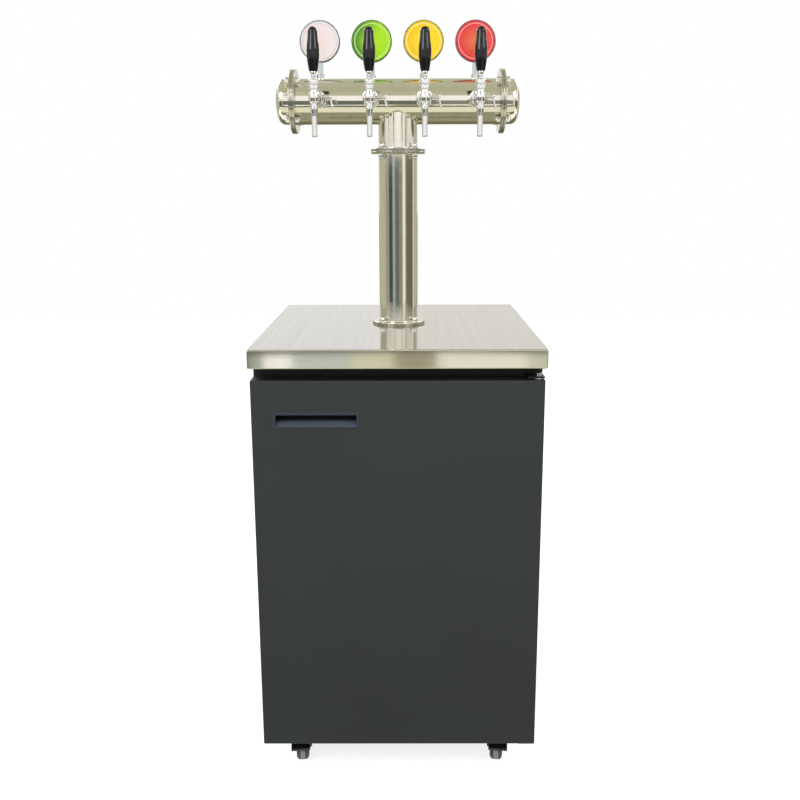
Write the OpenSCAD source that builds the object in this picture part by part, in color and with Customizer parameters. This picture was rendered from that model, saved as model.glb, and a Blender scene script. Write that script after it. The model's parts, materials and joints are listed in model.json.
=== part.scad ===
// Draft beer dispenser: an insulated keg cabinet on castors with a stainless
// worktop and a bolted T-shaped tower that carries four flow-control taps.
// Origin: floor, under the middle of the worktop. +Z up, the door faces -Y.

/* [Worktop] */
// Width of the worktop, left to right
worktop_w = 600; // [560:5:680]
// Depth of the worktop, front to back
worktop_d = 610; // [590:5:700]
// Height of the folded worktop edge
worktop_edge = 40; // [28:1:60]
// Thickness of the stainless worktop sheet
sheet_t = 1.5; // [1:0.1:3]
// Width of the lip folded in under the worktop edge
lip_w = 18; // [12:1:25]

/* [Cabinet] */
// Inset of the case sides from the worktop edge
case_inset = 4; // [2:0.5:8]
// Inset of the case back from the worktop edge
rear_inset = 5; // [4:0.5:12]
// Thickness of the case sheet
skin_t = 1.2; // [0.8:0.1:2]
// Thickness of the insulated side and back walls
wall_t = 40; // [30:1:50]
// Thickness of the insulated ceiling
ceiling_t = 44; // [30:1:60]
// Thickness of the insulated floor
floor_t = 58; // [40:1:70]
// Height of the rim of the base pan
pan_rim = 20; // [12:1:30]
// Depth of the machine space at the back
machine_d = 175; // [165:1:190]
// Height of the machine space
machine_h = 248; // [235:1:280]
// Thickness of the insulated step round the machine space
step_t = 35; // [25:1:45]
// Thickness of the face frame round the opening
frame_t = 3; // [2:0.5:5]
// Thickness of the loose keg floor plate
keg_floor_t = 3; // [2:0.5:6]
// Gap between the keg floor plate and the walls
keg_floor_gap = 6; // [3:1:12]

/* [Door] */
// Height of the door
door_h = 818; // [760:1:920]
// Gap between the top of the door and the worktop
door_top_gap = 23.5; // [20:0.5:40]
// Gap between the underside of the base pan and the bottom of the door
door_lift = 2.5; // [2:0.1:4]
// Setback of the door front from the worktop edge
door_setback = 2; // [0:0.5:6]
// Thickness of the door pan and its insulation
door_t = 33; // [28:1:36]
// Thickness of the inner door liner
door_liner_t = 4; // [3:0.5:6]
// Thickness of the door gasket when closed
gasket_t = 7.7; // [6:0.1:10]
// Gap between the closed gasket and the face frame
gasket_gap = 0.3; // [0.2:0.1:1]
// Width of the gasket strip
gasket_w = 20; // [14:1:24]
// Distance of the hinge axis from the side of the door
hinge_in = 12; // [11:0.5:16]
// Distance of the hinge axis from the front of the door
hinge_back = 18; // [14:0.5:20]
// Diameter of the hinge pins
hinge_pin_d = 8; // [6:0.5:10]
// Thickness of the hinge plates
hinge_plate_t = 2.5; // [2:0.1:4]

/* [Finger pull] */
// Width of the pull's rim
pull_w = 175; // [120:1:240]
// Height of the pull's rim
pull_h = 33; // [28:1:50]
// Distance of the rim from the free side of the door
pull_side = 44; // [25:1:80]
// Distance of the rim below the top of the door
pull_drop = 65.5; // [40:0.5:120]
// Depth of the pull's pocket
pull_depth = 22; // [16:1:26]
// Width of the rim around the mouth
pull_rim = 6; // [4:0.5:9]

/* [Tower] */
// Distance of the tower axis behind the middle of the worktop
tower_y = 22; // [-20:1:60]
// Outside diameter of the column
column_d = 88.9; // [76:0.1:102]
// Wall of the tower tubes
tube_wall = 2; // [1.5:0.1:3]
// Length of the column between its flanges
column_h = 381; // [250:1:500]
// Diameter of the column flanges
flange_d = 123; // [118:1:140]
// Thickness of each flange ring
flange_t = 6; // [4:0.5:8]
// Rise from the column's top joint to the axis of the cross bar
tee_rise = 103.5; // [90:0.5:140]
// Outside diameter of the cross bar
bar_d = 100; // [96:0.5:106]
// Length of the cross bar over its end caps
bar_len = 539; // [500:1:620]
// Diameter of the end flanges of the cross bar
end_flange_d = 140; // [134:1:150]
// Length of each end cap
cap_len = 31.5; // [24:0.5:45]
// Radius of the rounded rim of an end cap
cap_round = 18; // [10:0.5:22]
// Diameter of the flange bolts
bolt_d = 7; // [6:0.5:8]
// Width across the flats of the flange nuts
nut_af = 12; // [10:0.5:13]
// Diameter of the hole for the beer lines
line_hole_d = 70; // [64:1:76]
// Outside diameter of a beer line
line_d = 8; // [6:0.5:9.5]

/* [Taps] */
// Distance between taps
tap_pitch = 115; // [100:1:120]
// Distance from the cross bar's axis to a tap's spout
tap_reach = 150; // [140:1:170]
// Length of the handle
handle_len = 87.5; // [70:0.5:120]
// Largest diameter of the handle
handle_d = 26.3; // [22:0.1:32]
// Diameter of the handle at its lower end
handle_foot_d = 18; // [16:0.1:20]
// Diameter of the handle at its top
handle_top_d = 19.7; // [16:0.1:22]
// Diameter of the tap body
tap_d = 22; // [20:0.5:26]
// Diameter of the coupling nut
coupling_d = 34; // [30:0.5:40]
// Diameter of the lower part of the spout
spout_d = 11.6; // [10:0.1:14]
// Diameter of the outlet
outlet_d = 8.6; // [6:0.1:9]
// Depth of the spout's tip below the tap's axis
spout_drop = 84.5; // [70:0.5:110]

/* [Medallions] */
// Diameter of a medallion
medallion_d = 90; // [70:1:100]
// Thickness of a medallion
medallion_t = 8; // [6:0.5:12]
// Diameter of the coloured face
face_d = 79; // [50:1:84]
// Height of a medallion's centre above the cross bar's axis
medallion_rise = 128.5; // [115:0.5:150]
// Width of a medallion's stem
stem_w = 13; // [10:0.5:15]

/* [Castors] */
// Height from the floor to the base pan
castor_h = 86; // [84:1:100]
// Diameter of a castor wheel
wheel_d = 63; // [50:1:64]
// Width of a castor wheel
wheel_w = 28; // [20:1:30]
// Trail of the wheel behind the swivel axis
trail = 28; // [22:1:32]
// Inset of the swivel axis from the side of the case
castor_side = 72; // [50:1:90]
// Inset of the rear swivel axes from the back of the case
castor_end = 29; // [28:1:50]
// Inset of the front swivel axes from the front of the case
castor_front = 56; // [28:1:70]
// Side of the square castor plate
castor_plate_w = 54; // [48:1:56]

/* [Fits] */
// Radial running clearance of pins and shafts
running_gap = 0.05; // [0.02:0.01:0.1]
// Clearance between a moving piece and its neighbour
move_gap = 0.3; // [0.2:0.05:0.6]
// Clearance of a piece seated in or on a fixed neighbour
seat_gap = 0.1; // [0.05:0.05:0.3]

/* [Hidden] */
$fn = 64;
eps = 1;

// Case and door planes
front_y = -worktop_d / 2;
worktop_h = castor_h + door_lift + door_h + door_top_gap + worktop_edge;
case_x = worktop_w / 2 - case_inset;
door_y0 = front_y + door_setback;
door_y1 = door_y0 + door_t;
door_back = door_y1 + door_liner_t;
frame_y = door_back + gasket_t + gasket_gap;
case_y0 = frame_y + frame_t;
case_y1 = worktop_d / 2 - rear_inset;
pan_z = castor_h;
pan_top = pan_z + skin_t;
case_z0 = pan_z + pan_rim;
case_z1 = worktop_h - worktop_edge;
liner_x = case_x - skin_t;
liner_y1 = case_y1 - skin_t;
liner_z1 = case_z1 - skin_t;

// Keg space and machine space
cavity_x = liner_x - wall_t;
cavity_y1 = liner_y1 - wall_t;
cavity_z0 = pan_top + floor_t;
cavity_z1 = liner_z1 - ceiling_t;
machine_x = liner_x - wall_t / 2;
machine_y = case_y1 - machine_d;
machine_z1 = pan_top + machine_h;
step_y = machine_y - step_t;
step_z = machine_z1 + step_t;

// Door and hinge
door_z0 = pan_z + door_lift;
door_z1 = door_z0 + door_h;
hinge_x = case_x - hinge_in;
hinge_y = door_y0 + hinge_back;
bush_d = hinge_pin_d + 6;
bush_len = 18;
bush_flange_d = bush_d + 6;
bush_flange_t = door_lift - move_gap;
hinge_plate_w = 34;
hinge_plate_front = 11;
pin_foot = 0.5;
pull_x0 = -case_x + pull_side;
pull_z1 = door_z1 - pull_drop;
pull_proud = 1;

// Tower levels
hole_r = line_hole_d / 2;
column_r = column_d / 2;
bar_r = bar_d / 2;
flange_hole_r = column_r - tube_wall - 3;
end_hole_r = bar_r - tube_wall - 5;
column_z = worktop_h + flange_t;
joint_z = column_z + column_h;
joint_t = 2 * flange_t + seat_gap;
stub_z = joint_z + joint_t;
bar_z = stub_z + tee_rise;
bar_half = bar_len / 2 - cap_len - joint_t;
flange_pcr = (flange_d / 2 + column_r) / 2;
end_pcr = (end_flange_d / 2 + bar_r) / 2;
base_bolt_len = worktop_edge - 8;
nut_h = 7;
dome_h = 5;

// Tap stations, left to right
taps = [-1.5, -0.5, 0.5, 1.5] * tap_pitch;
tap_y = tower_y - tap_reach;
tap_r = tap_d / 2;
shank_r = 11;
shank_in = 30;
shank_out = 93;
coupling_back = 84;
coupling_front = 104;
barrel_low = -17;
neck_z = 9;
collar_z0 = 12;
collar_z1 = 32;
pivot_z = 26;
ball_r = 7;
stem_r = 4;
stem_in = 20;
socket_mouth_r = 9.5;
ferrule_z = 36;
handle_z = 47;
flow_y = 40;
flow_boss_x = 14;
flow_shaft_x = 5;
flow_shaft_r = 2.5;

// Beer line routes inside the tower, from the tower axis
line_r = line_d / 2;
elbow_r = 16;
drop_r = 25;
drop_x = 14;
line_rows = [10, -14];
fitting_plate_t = 3;
fitting_z = cavity_z1 - fitting_plate_t;
socket_z = 2;
line_foot = fitting_z + socket_z + seat_gap;
fitting_wall = 2;
barb_len = 24;
barb_r = 4.75;

// Castor levels, from the floor, and stations: front left, front right, back left, back right
axle_z = wheel_d / 2;
axle_r = 4;
plate_t = 3;
race_h = 4;
crown_z1 = castor_h - plate_t - race_h - move_gap;
crown_t = 4;
kingpin_r = 5;
fork_in = wheel_w / 2 + 1;
cheek_t = 2.5;
pedal_t = trail + 16;
pedal_z = axle_z + wheel_d / 2 + 4;
pedal_pin_r = 2.5;
castor_px = case_x - castor_side;
castors = [
    [-castor_px, case_y0 + castor_front, 6],
    [castor_px, case_y0 + castor_front, -6],
    [-castor_px, case_y1 - castor_end, 10],
    [castor_px, case_y1 - castor_end, -12]
];

// Evaporator on the back wall, with its fan and the thermostat's knob
evap_side = 64.8;
evap_x = cavity_x - evap_side;
evap_d = 90;
evap_y = cavity_y1 - evap_d;
evap_wall = 2;
evap_drop = 24.6;
evap_h = 300;
evap_z1 = cavity_z1 - evap_drop;
evap_z0 = evap_z1 - evap_h;
evap_fan_z = evap_z0 + evap_h * 0.56;
evap_fan_r = 72;
evap_fan_t = 20;
fan_shaft_r = 3;
fan_clear = 3;
knob_side = 46;
knob_rise = 40;
knob_x = evap_x - knob_side;
knob_z = evap_z0 + knob_rise;
knob_shaft_r = 3;
knob_shaft_len = 12;

// Compressor and condenser in the machine space
machine_mid = machine_y + machine_d / 2;
condenser_side = 84.8;
condenser_x = machine_x - condenser_side;
condenser_half = 70;
condenser_h = 210;
cond_fan_z = pan_top + condenser_h / 2;
cond_fan_r = 62;
cond_fan_t = 15;
shroud_t = 24;

// Block from -x to +x between two depths and two heights
module slab(x, y0, y1, z0, z1) {
    translate([-x, y0, z0]) cube([2 * x, y1 - y0, z1 - z0]);
}

// Block between two corners
module block(low, high) {
    translate(low) cube(high - low);
}

// Cylinder along +Y from y0 to y1
module bar_y(r, y0, y1) {
    translate([0, y0, 0]) rotate([-90, 0, 0]) cylinder(r = r, h = y1 - y0);
}

// Cylinder along +X from x0 to x1
module bar_x(r, x0, x1) {
    translate([x0, 0, 0]) rotate([0, 90, 0]) cylinder(r = r, h = x1 - x0);
}

// Copies children on the tower's axis at a height
module on_tower(z) {
    translate([0, tower_y, z]) children();
}

// Copies children at one tap, from the crossing of its body and its spout
module at_tap(i) {
    translate([taps[i], tap_y, bar_z]) children();
}

// Four places at 45 degrees on a bolt circle
module on_bolt_circle(r) {
    for (a = [45 : 90 : 315]) rotate([0, 0, a]) translate([r, 0, 0]) children();
}

// Sheet pan under the cabinet, open at the front
module base_pan() {
    color("dimgray") difference() {
        slab(case_x, case_y0, case_y1, pan_z, case_z0);
        slab(liner_x, case_y0 - eps, liner_y1, pan_top, case_z0 + eps);
    }
}

// Painted steel sides, top and back round the insulation
module case_panels() {
    color("#33373a") difference() {
        slab(case_x, case_y0, case_y1, case_z0, case_z1);
        slab(liner_x, case_y0 - eps, liner_y1, case_z0 - eps, liner_z1);
        slab(machine_x, liner_y1 - eps, case_y1 + eps, case_z0 - eps, machine_z1);
        on_tower(liner_z1 - eps) cylinder(r = hole_r, h = skin_t + 2 * eps);
    }
}

// White inner liner foamed to its insulation, stepped over the machine space
module insulated_liner() {
    color("whitesmoke") difference() {
        slab(liner_x, case_y0, liner_y1, pan_top, liner_z1);
        slab(cavity_x, case_y0 - eps, cavity_y1, step_z, cavity_z1);
        slab(cavity_x, case_y0 - eps, step_y, cavity_z0, step_z + eps);
        slab(machine_x, machine_y, liner_y1 + eps, pan_top - eps, machine_z1);
        on_tower(cavity_z1 - eps) cylinder(r = hole_r, h = ceiling_t + 2 * eps);
    }
}

// Black face frame that the gasket closes on
module face_frame() {
    color("black") difference() {
        slab(case_x, frame_y, case_y0, pan_z, case_z1);
        slab(cavity_x, frame_y - eps, case_y0 + eps, cavity_z0, cavity_z1);
    }
}

// Loose floor plate that the kegs stand on
module keg_floor() {
    color("silver")
        slab(cavity_x - keg_floor_gap, case_y0 + keg_floor_gap, step_y - keg_floor_gap,
             cavity_z0, cavity_z0 + keg_floor_t);
}

// Stainless worktop sheet with folded edges and a return lip
module worktop() {
    x = worktop_w / 2;
    y = worktop_d / 2;
    color("gainsboro") difference() {
        slab(x, -y, y, case_z1, worktop_h);
        slab(x - sheet_t, -y + sheet_t, y - sheet_t, case_z1 + sheet_t, worktop_h - sheet_t);
        slab(x - lip_w, -y + lip_w, y - lip_w, case_z1 - eps, case_z1 + sheet_t + eps);
        on_tower(worktop_h - sheet_t - eps) {
            cylinder(r = hole_r, h = sheet_t + 2 * eps);
            on_bolt_circle(flange_pcr) cylinder(d = bolt_d + 2 * seat_gap, h = sheet_t + 2 * eps);
        }
    }
}

// Board that fills the worktop and takes the tower's bolts
module worktop_core() {
    x = worktop_w / 2 - sheet_t - seat_gap;
    y = worktop_d / 2 - sheet_t - seat_gap;
    color("burlywood") difference() {
        slab(x, -y, y, case_z1 + sheet_t, worktop_h - sheet_t);
        on_tower(case_z1) {
            cylinder(r = hole_r, h = worktop_edge);
            on_bolt_circle(flange_pcr) translate([0, 0, worktop_edge - base_bolt_len - seat_gap])
                cylinder(d = bolt_d + 2 * seat_gap, h = base_bolt_len);
        }
    }
}

// Slotted panel that closes the machine space
module rear_grille() {
    overlap = 12;
    grille_t = rear_inset / 2;
    slot_rows = 9;
    slot_h = 7;
    bridge = 12;
    slot_w = (machine_x - 3 * bridge) / 2;
    first_in = 16;
    slot_ends = 40;
    first_z = case_z0 + first_in;
    rise = (machine_h - slot_ends) / slot_rows;
    color("dimgray") difference() {
        slab(machine_x + overlap, case_y1, case_y1 + grille_t, case_z0 + seat_gap, machine_z1 + overlap);
        for (row = [0 : slot_rows - 1], side = [-1.5, -0.5, 0.5, 1.5])
            translate([side * (slot_w + bridge) - slot_w / 2, case_y1 - eps, first_z + row * rise])
                cube([slot_w, grille_t + 2 * eps, slot_h]);
    }
}

// Hermetic compressor pot on its feet
module compressor() {
    pot_r = 66;
    pot_side = 109.8;
    pot_h = 146;
    pot_round = 26;
    foot_r = 11;
    foot_h = 10;
    terminal_box = [22, 48, 56];
    terminal_z = 50;
    color("#1c1c1e") translate([pot_side - machine_x, machine_mid, pan_top]) {
        on_bolt_circle(pot_r - foot_r / 3) cylinder(r = foot_r, h = foot_h + eps);
        translate([0, 0, foot_h]) rotate([0, 0, 180]) rounded_drum(pot_r, pot_h, pot_round);
        translate([pot_r - foot_r / 2, -terminal_box[1] / 2, terminal_z]) cube(terminal_box);
    }
}

// Finned condenser block with the plate that carries its fan
module condenser() {
    fin_t = 44;
    fin_pitch = 10;
    fin_gap = 4;
    plate = 3;
    arm_w = 8;
    hub_r = 14;
    y0 = machine_mid - condenser_half;
    y1 = machine_mid + condenser_half;
    z1 = pan_top + condenser_h;
    plate_x = condenser_x - plate;
    color("silver") {
        // Fins behind a plain frame
        difference() {
            block([condenser_x, y0, pan_top], [condenser_x + fin_t, y1, z1]);
            for (y = [y0 + fin_pitch : fin_pitch : y1 - fin_pitch])
                translate([condenser_x + arm_w, y - fin_gap / 2, pan_top + fin_pitch])
                    cube([fin_t, fin_gap, condenser_h - 2 * fin_pitch]);
        }
        // Shroud with a round air hole and the arms of the fan's hub
        difference() {
            block([condenser_x - shroud_t, y0, pan_top], [condenser_x, y1, z1]);
            translate([0, machine_mid, cond_fan_z]) {
                bar_x(cond_fan_r + 3, condenser_x - shroud_t - eps, plate_x);
                difference() {
                    bar_x(cond_fan_r - 4, plate_x - eps, condenser_x + eps);
                    for (a = [30, 150, 270]) rotate([a, 0, 0]) translate([plate_x, -arm_w / 2, 0])
                        cube([plate, arm_w, cond_fan_r]);
                    bar_x(hub_r, plate_x, condenser_x);
                }
            }
        }
        translate([0, machine_mid, cond_fan_z]) bar_x(fan_shaft_r, condenser_x - shroud_t + 2, plate_x);
    }
}

// Axial fan with pitched blades, spun about +X, its hub between x0 and x0 + depth
module fan_rotor(tip_r, depth, blades) {
    hub_r = 15;
    blade_t = 1.6;
    pitch = 32;
    difference() {
        union() {
            bar_x(hub_r, 0, depth);
            intersection() {
                bar_x(tip_r, 0, depth);
                for (k = [0 : blades - 1]) rotate([k * 360 / blades, 0, 0])
                    translate([depth / 2, 0, hub_r - 2]) rotate([0, 0, pitch])
                        translate([-depth, -blade_t / 2, 0]) cube([2 * depth, blade_t, tip_r]);
            }
        }
        bar_x(fan_shaft_r + running_gap, -eps, depth + eps);
    }
}

// Fan that draws air through the condenser
module condenser_fan() {
    color("#2a2a2c") translate([condenser_x - shroud_t + fan_clear, machine_mid, cond_fan_z])
        fan_rotor(cond_fan_r, cond_fan_t, 5);
}

// Cover over the evaporator, with the arms that carry its fan and the thermostat's shaft
module evaporator_cover() {
    arm_w = 8;
    hub_r = 16;
    ring_w = 2;
    fan_margin = 4;
    spare_shaft = 6;
    back = evap_y + evap_wall;
    color("white") {
        difference() {
            slab(evap_x, evap_y, cavity_y1, evap_z0, evap_z1);
            slab(evap_x - evap_wall, back, cavity_y1 + eps, evap_z0 + evap_wall, evap_z1 - evap_wall);
            translate([0, 0, evap_fan_z]) difference() {
                bar_y(evap_fan_r + fan_margin, evap_y - eps, back + eps);
                for (a = [0, 120, 240]) rotate([0, a, 0]) translate([-arm_w / 2, evap_y, 0])
                    cube([arm_w, evap_wall, evap_fan_r + arm_w]);
                bar_y(hub_r, evap_y, back);
                for (share = [0.47, 0.74]) difference() {
                    bar_y(share * evap_fan_r + ring_w, evap_y, back);
                    bar_y(share * evap_fan_r, evap_y - eps, back + eps);
                }
            }
            evaporator_slots();
        }
        translate([0, 0, evap_fan_z]) bar_y(fan_shaft_r, back, back + evap_fan_t + spare_shaft);
        translate([knob_x, 0, knob_z]) bar_y(knob_shaft_r, evap_y - knob_shaft_len, evap_y);
    }
}

// Air slots through the bottom wall of the evaporator cover
module evaporator_slots() {
    slot_pitch = 36;
    slot_w = 20;
    margin = 14;
    for (k = [-4 : 4]) translate([k * slot_pitch - slot_w / 2, evap_y + margin, evap_z0 - eps])
        cube([slot_w, cavity_y1 - evap_y - margin - slot_w, evap_wall + 2 * eps]);
}

// Finned evaporator block on the back wall
module evaporator_coil() {
    coil_d = 42;
    coil_side = 24;
    coil_x = evap_x - coil_side;
    back_t = 6;
    fin_pitch = 10;
    fin_gap = 6;
    frame = 10;
    z0 = evap_z0 + 2 * frame;
    z1 = evap_z1 - 2 * frame;
    color("silver") difference() {
        slab(coil_x, cavity_y1 - coil_d, cavity_y1, z0, z1);
        for (k = [-15 : 15]) translate([k * fin_pitch - fin_gap / 2, cavity_y1 - coil_d - eps, z0 + frame])
            cube([fin_gap, coil_d - back_t, z1 - z0 - 2 * frame]);
    }
}

// Fan behind the evaporator cover's grille
module evaporator_fan() {
    color("#2a2a2c") translate([0, evap_y + evap_wall + fan_clear, evap_fan_z]) rotate([0, 0, 90])
        fan_rotor(evap_fan_r, evap_fan_t, 5);
}

// Thermostat knob with grip flutes, turned about Y
module thermostat_knob() {
    skirt_r = 19;
    skirt_t = 7;
    grip_r = 15;
    knob_t = 19;
    flute_r = 2.5;
    color("#222224") translate([knob_x, evap_y, knob_z]) difference() {
        union() {
            bar_y(skirt_r, -skirt_t, -move_gap);
            bar_y(grip_r, -knob_t, -skirt_t);
        }
        for (a = [15 : 30 : 345]) rotate([0, a, 0]) translate([grip_r + 1, 0, 0])
            bar_y(flute_r, -knob_t - eps, -skirt_t - move_gap);
        bar_y(knob_shaft_r + running_gap, -knob_shaft_len - move_gap, eps);
    }
}

// Appliance inlet for the mains lead, on the rear panel
module mains_inlet() {
    inlet_w = 28;
    inlet_h = 14;
    rim = 3;
    well_t = 0.6;
    x = machine_x - inlet_w - 4;
    z = machine_z1 - 4;
    y0 = case_y1 + rear_inset / 2;
    color("black") difference() {
        block([x, y0, z], [x + inlet_w, y0 + rear_inset / 2, z + inlet_h]);
        block([x + rim, y0 + well_t, z + rim], [x + inlet_w - rim, y0 + rear_inset, z + inlet_h - rim]);
    }
}

// Hinge plates and pins above and below the door
module hinge_brackets() {
    x0 = hinge_x - hinge_plate_w + hinge_in;
    top_z = door_z1 + door_lift + seat_gap;
    leg_t = 3;
    foot_len = 40;
    pin_in = bush_len - 2;
    upper_pin = top_z - door_z1 + pin_in + pin_foot;
    color("silver") {
        // Upper plate, its leg on the face frame and its pin
        block([x0, hinge_y - hinge_plate_front, top_z], [case_x, frame_y, top_z + hinge_plate_t]);
        block([x0, frame_y - leg_t, top_z], [case_x, frame_y, case_z1 - 2]);
        translate([hinge_x, hinge_y, door_z1 - pin_in]) cylinder(d = hinge_pin_d, h = upper_pin);
        // Lower plate under the base pan, with its pin
        block([x0, hinge_y - hinge_plate_front, pan_z - hinge_plate_t], [case_x, case_y0 + foot_len, pan_z]);
        translate([hinge_x, hinge_y, pan_z - pin_foot])
            cylinder(d = hinge_pin_d, h = door_lift + pin_in + pin_foot);
    }
}

// Painted steel door pan
module door_panel() {
    color("#3b3f3e") difference() {
        slab(case_x, door_y0, door_y1, door_z0, door_z1);
        slab(case_x - skin_t, door_y0 + skin_t, door_y1 + eps, door_z0 + skin_t, door_z1 - skin_t);
        pull_cut();
        bush_cut();
    }
}

// Pocket in the door for the finger pull
module pull_cut() {
    inset = pull_rim / 3;
    block([pull_x0 + inset, door_y0 - eps, pull_z1 - pull_h + inset],
          [pull_x0 + pull_w - inset, door_y0 + pull_depth + seat_gap, pull_z1 - inset]);
}

// Holes in the door for both hinge bushes
module bush_cut() {
    for (z = [door_z0 - eps, door_z1 - bush_len])
        translate([hinge_x, hinge_y, z]) cylinder(d = bush_d + 2 * seat_gap, h = bush_len + eps);
}

// White door liner foamed to the door's insulation
module door_liner() {
    dish_x = 24;
    dish_z = 20;
    color("whitesmoke") difference() {
        union() {
            slab(case_x - skin_t, door_y0 + skin_t, door_y1, door_z0 + skin_t, door_z1 - skin_t);
            slab(case_x, door_y1, door_back, door_z0, door_z1);
        }
        pull_cut();
        bush_cut();
        // Shallow dished panel inside the gasket
        slab(cavity_x - dish_x, door_back - door_liner_t / 2, door_back + eps,
             cavity_z0 + dish_z, cavity_z1 - dish_z);
    }
}

// Magnetic door gasket: a base strip with a narrower sealing bead
module door_gasket() {
    edge_x = hinge_x - 2;
    bead = gasket_w * 0.3;
    z0 = cavity_z0 - gasket_w - 6;
    z1 = min(cavity_z1 + gasket_w - 2, door_z1 - 3);
    color("#1a1a1c") {
        gasket_ring(edge_x, z0, z1, gasket_w, door_back, door_back + gasket_t / 2);
        gasket_ring(edge_x - bead, z0 + bead, z1 - bead, gasket_w - 2 * bead,
                    door_back + gasket_t / 2, door_back + gasket_t);
    }
}

// Rectangular ring of a given strip width
module gasket_ring(x, z0, z1, w, y0, y1) {
    difference() {
        slab(x, y0, y1, z0, z1);
        slab(x - w, y0 - eps, y1 + eps, z0 + w, z1 - w);
    }
}

// Moulded finger pull: a rim round a pocket with a sloping floor
module finger_pull() {
    wall = 1.5;
    inset = pull_rim / 3 + seat_gap;
    mouth_z0 = pull_z1 - pull_h + pull_rim - 2.5;
    mouth_z1 = pull_z1 - pull_rim;
    color("#2c3339") difference() {
        union() {
            block([pull_x0, door_y0 - pull_proud, pull_z1 - pull_h], [pull_x0 + pull_w, door_y0, pull_z1]);
            block([pull_x0 + inset, door_y0, pull_z1 - pull_h + inset],
                  [pull_x0 + pull_w - inset, door_y0 + pull_depth, pull_z1 - inset]);
        }
        translate([pull_x0 + pull_rim, 0, 0]) rotate([90, 0, 90]) linear_extrude(pull_w - 2 * pull_rim)
            polygon([
                [door_y0 - pull_proud - eps, mouth_z0],
                [door_y0 + 1, mouth_z0],
                [door_y0 + pull_depth - wall, mouth_z0 + 9],
                [door_y0 + pull_depth - wall, mouth_z1 + 1.5],
                [door_y0 + 3, mouth_z1 + 1.5],
                [door_y0 + 3, mouth_z1],
                [door_y0 - pull_proud - eps, mouth_z1]
            ]);
    }
}

// Flanged hinge bushes pressed into the door
module hinge_bushes() {
    color("white") {
        translate([hinge_x, hinge_y, door_z0]) hinge_bush();
        translate([hinge_x, hinge_y, door_z1]) mirror([0, 0, 1]) hinge_bush();
    }
}

// One bush, its flange below the door's edge
module hinge_bush() {
    difference() {
        union() {
            cylinder(d = bush_d, h = bush_len - seat_gap);
            translate([0, 0, -bush_flange_t]) cylinder(d = bush_flange_d, h = bush_flange_t);
        }
        translate([0, 0, -bush_flange_t - eps])
            cylinder(d = hinge_pin_d + 2 * running_gap, h = bush_len + bush_flange_t + 2 * eps);
    }
}

// Flange ring with four bolt holes
module flange_ring(d, hole_r, pcr) {
    difference() {
        cylinder(d = d, h = flange_t);
        translate([0, 0, -eps]) cylinder(r = hole_r, h = flange_t + 2 * eps);
        translate([0, 0, -eps]) on_bolt_circle(pcr)
            cylinder(d = bolt_d + 2 * seat_gap, h = flange_t + 2 * eps);
    }
}

// Places children on one end of the cross bar, +Z outwards
module on_bar_end(side) {
    on_tower(bar_z) rotate([0, side * 90, 0]) translate([0, 0, bar_half]) children();
}

// Bolted flanges: the foot, the joint under the tee and both ends of the cross bar
module tower_flanges() {
    color("silver") {
        on_tower(worktop_h) flange_ring(flange_d, flange_hole_r, flange_pcr);
        for (k = [0, 1]) on_tower(joint_z + k * (flange_t + seat_gap))
            flange_ring(flange_d, flange_hole_r, flange_pcr);
        for (side = [-1, 1], k = [0, 1]) on_bar_end(side) translate([0, 0, k * (flange_t + seat_gap)])
            flange_ring(end_flange_d, end_hole_r, end_pcr);
    }
}

// Domed cap nut standing on z = 0
module cap_nut() {
    dome_r = nut_af / 2 - 0.5;
    cylinder(d = nut_af / cos(30), h = nut_h, $fn = 6);
    translate([0, 0, nut_h + dome_h - dome_r]) sphere(r = dome_r);
}

// Stud of a given length with a cap nut on its upper end, and on its lower end if asked
module flange_stud(len, both) {
    cylinder(d = bolt_d, h = len);
    translate([0, 0, len]) cap_nut();
    if (both) mirror([0, 0, 1]) cap_nut();
}

// Studs and cap nuts of every flange
module tower_bolts() {
    color("silver") {
        on_tower(worktop_h - base_bolt_len) on_bolt_circle(flange_pcr)
            flange_stud(base_bolt_len + flange_t, false);
        on_tower(joint_z) on_bolt_circle(flange_pcr) flange_stud(joint_t, true);
        for (side = [-1, 1]) on_bar_end(side) on_bolt_circle(end_pcr) flange_stud(joint_t, true);
    }
}

// Polished column between the foot and the joint
module column_tube() {
    color("silver") on_tower(column_z) difference() {
        cylinder(r = column_r, h = column_h);
        translate([0, 0, -eps]) cylinder(r = column_r - tube_wall, h = column_h + 2 * eps);
    }
}

// Tee: the stub over the joint and the cross bar, with a hole for each shank
module tee_body() {
    color("silver") on_tower(bar_z) difference() {
        union() {
            translate([0, 0, -tee_rise]) cylinder(r = column_r, h = tee_rise);
            bar_x(bar_r, -bar_half, bar_half);
        }
        translate([0, 0, -tee_rise - eps]) cylinder(r = column_r - tube_wall, h = tee_rise + eps);
        bar_x(bar_r - tube_wall, -bar_half - eps, bar_half + eps);
        for (x = taps) translate([x, 0, 0]) bar_y(shank_r + seat_gap, -bar_r - eps, 0);
    }
}

// Drum with a rounded far rim, standing on z = 0
module rounded_drum(r, len, round) {
    rotate_extrude() {
        square([r - round, len]);
        square([r, len - round]);
        translate([r - round, len - round]) intersection() {
            circle(r = round);
            square(round);
        }
    }
}

// Dished end caps of the cross bar
module end_caps() {
    color("silver") for (side = [-1, 1]) on_bar_end(side) translate([0, 0, joint_t]) difference() {
        rounded_drum(bar_r, cap_len, cap_round);
        translate([0, 0, -eps])
            rounded_drum(bar_r - tube_wall, cap_len - tube_wall + eps, cap_round - tube_wall);
    }
}

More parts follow.
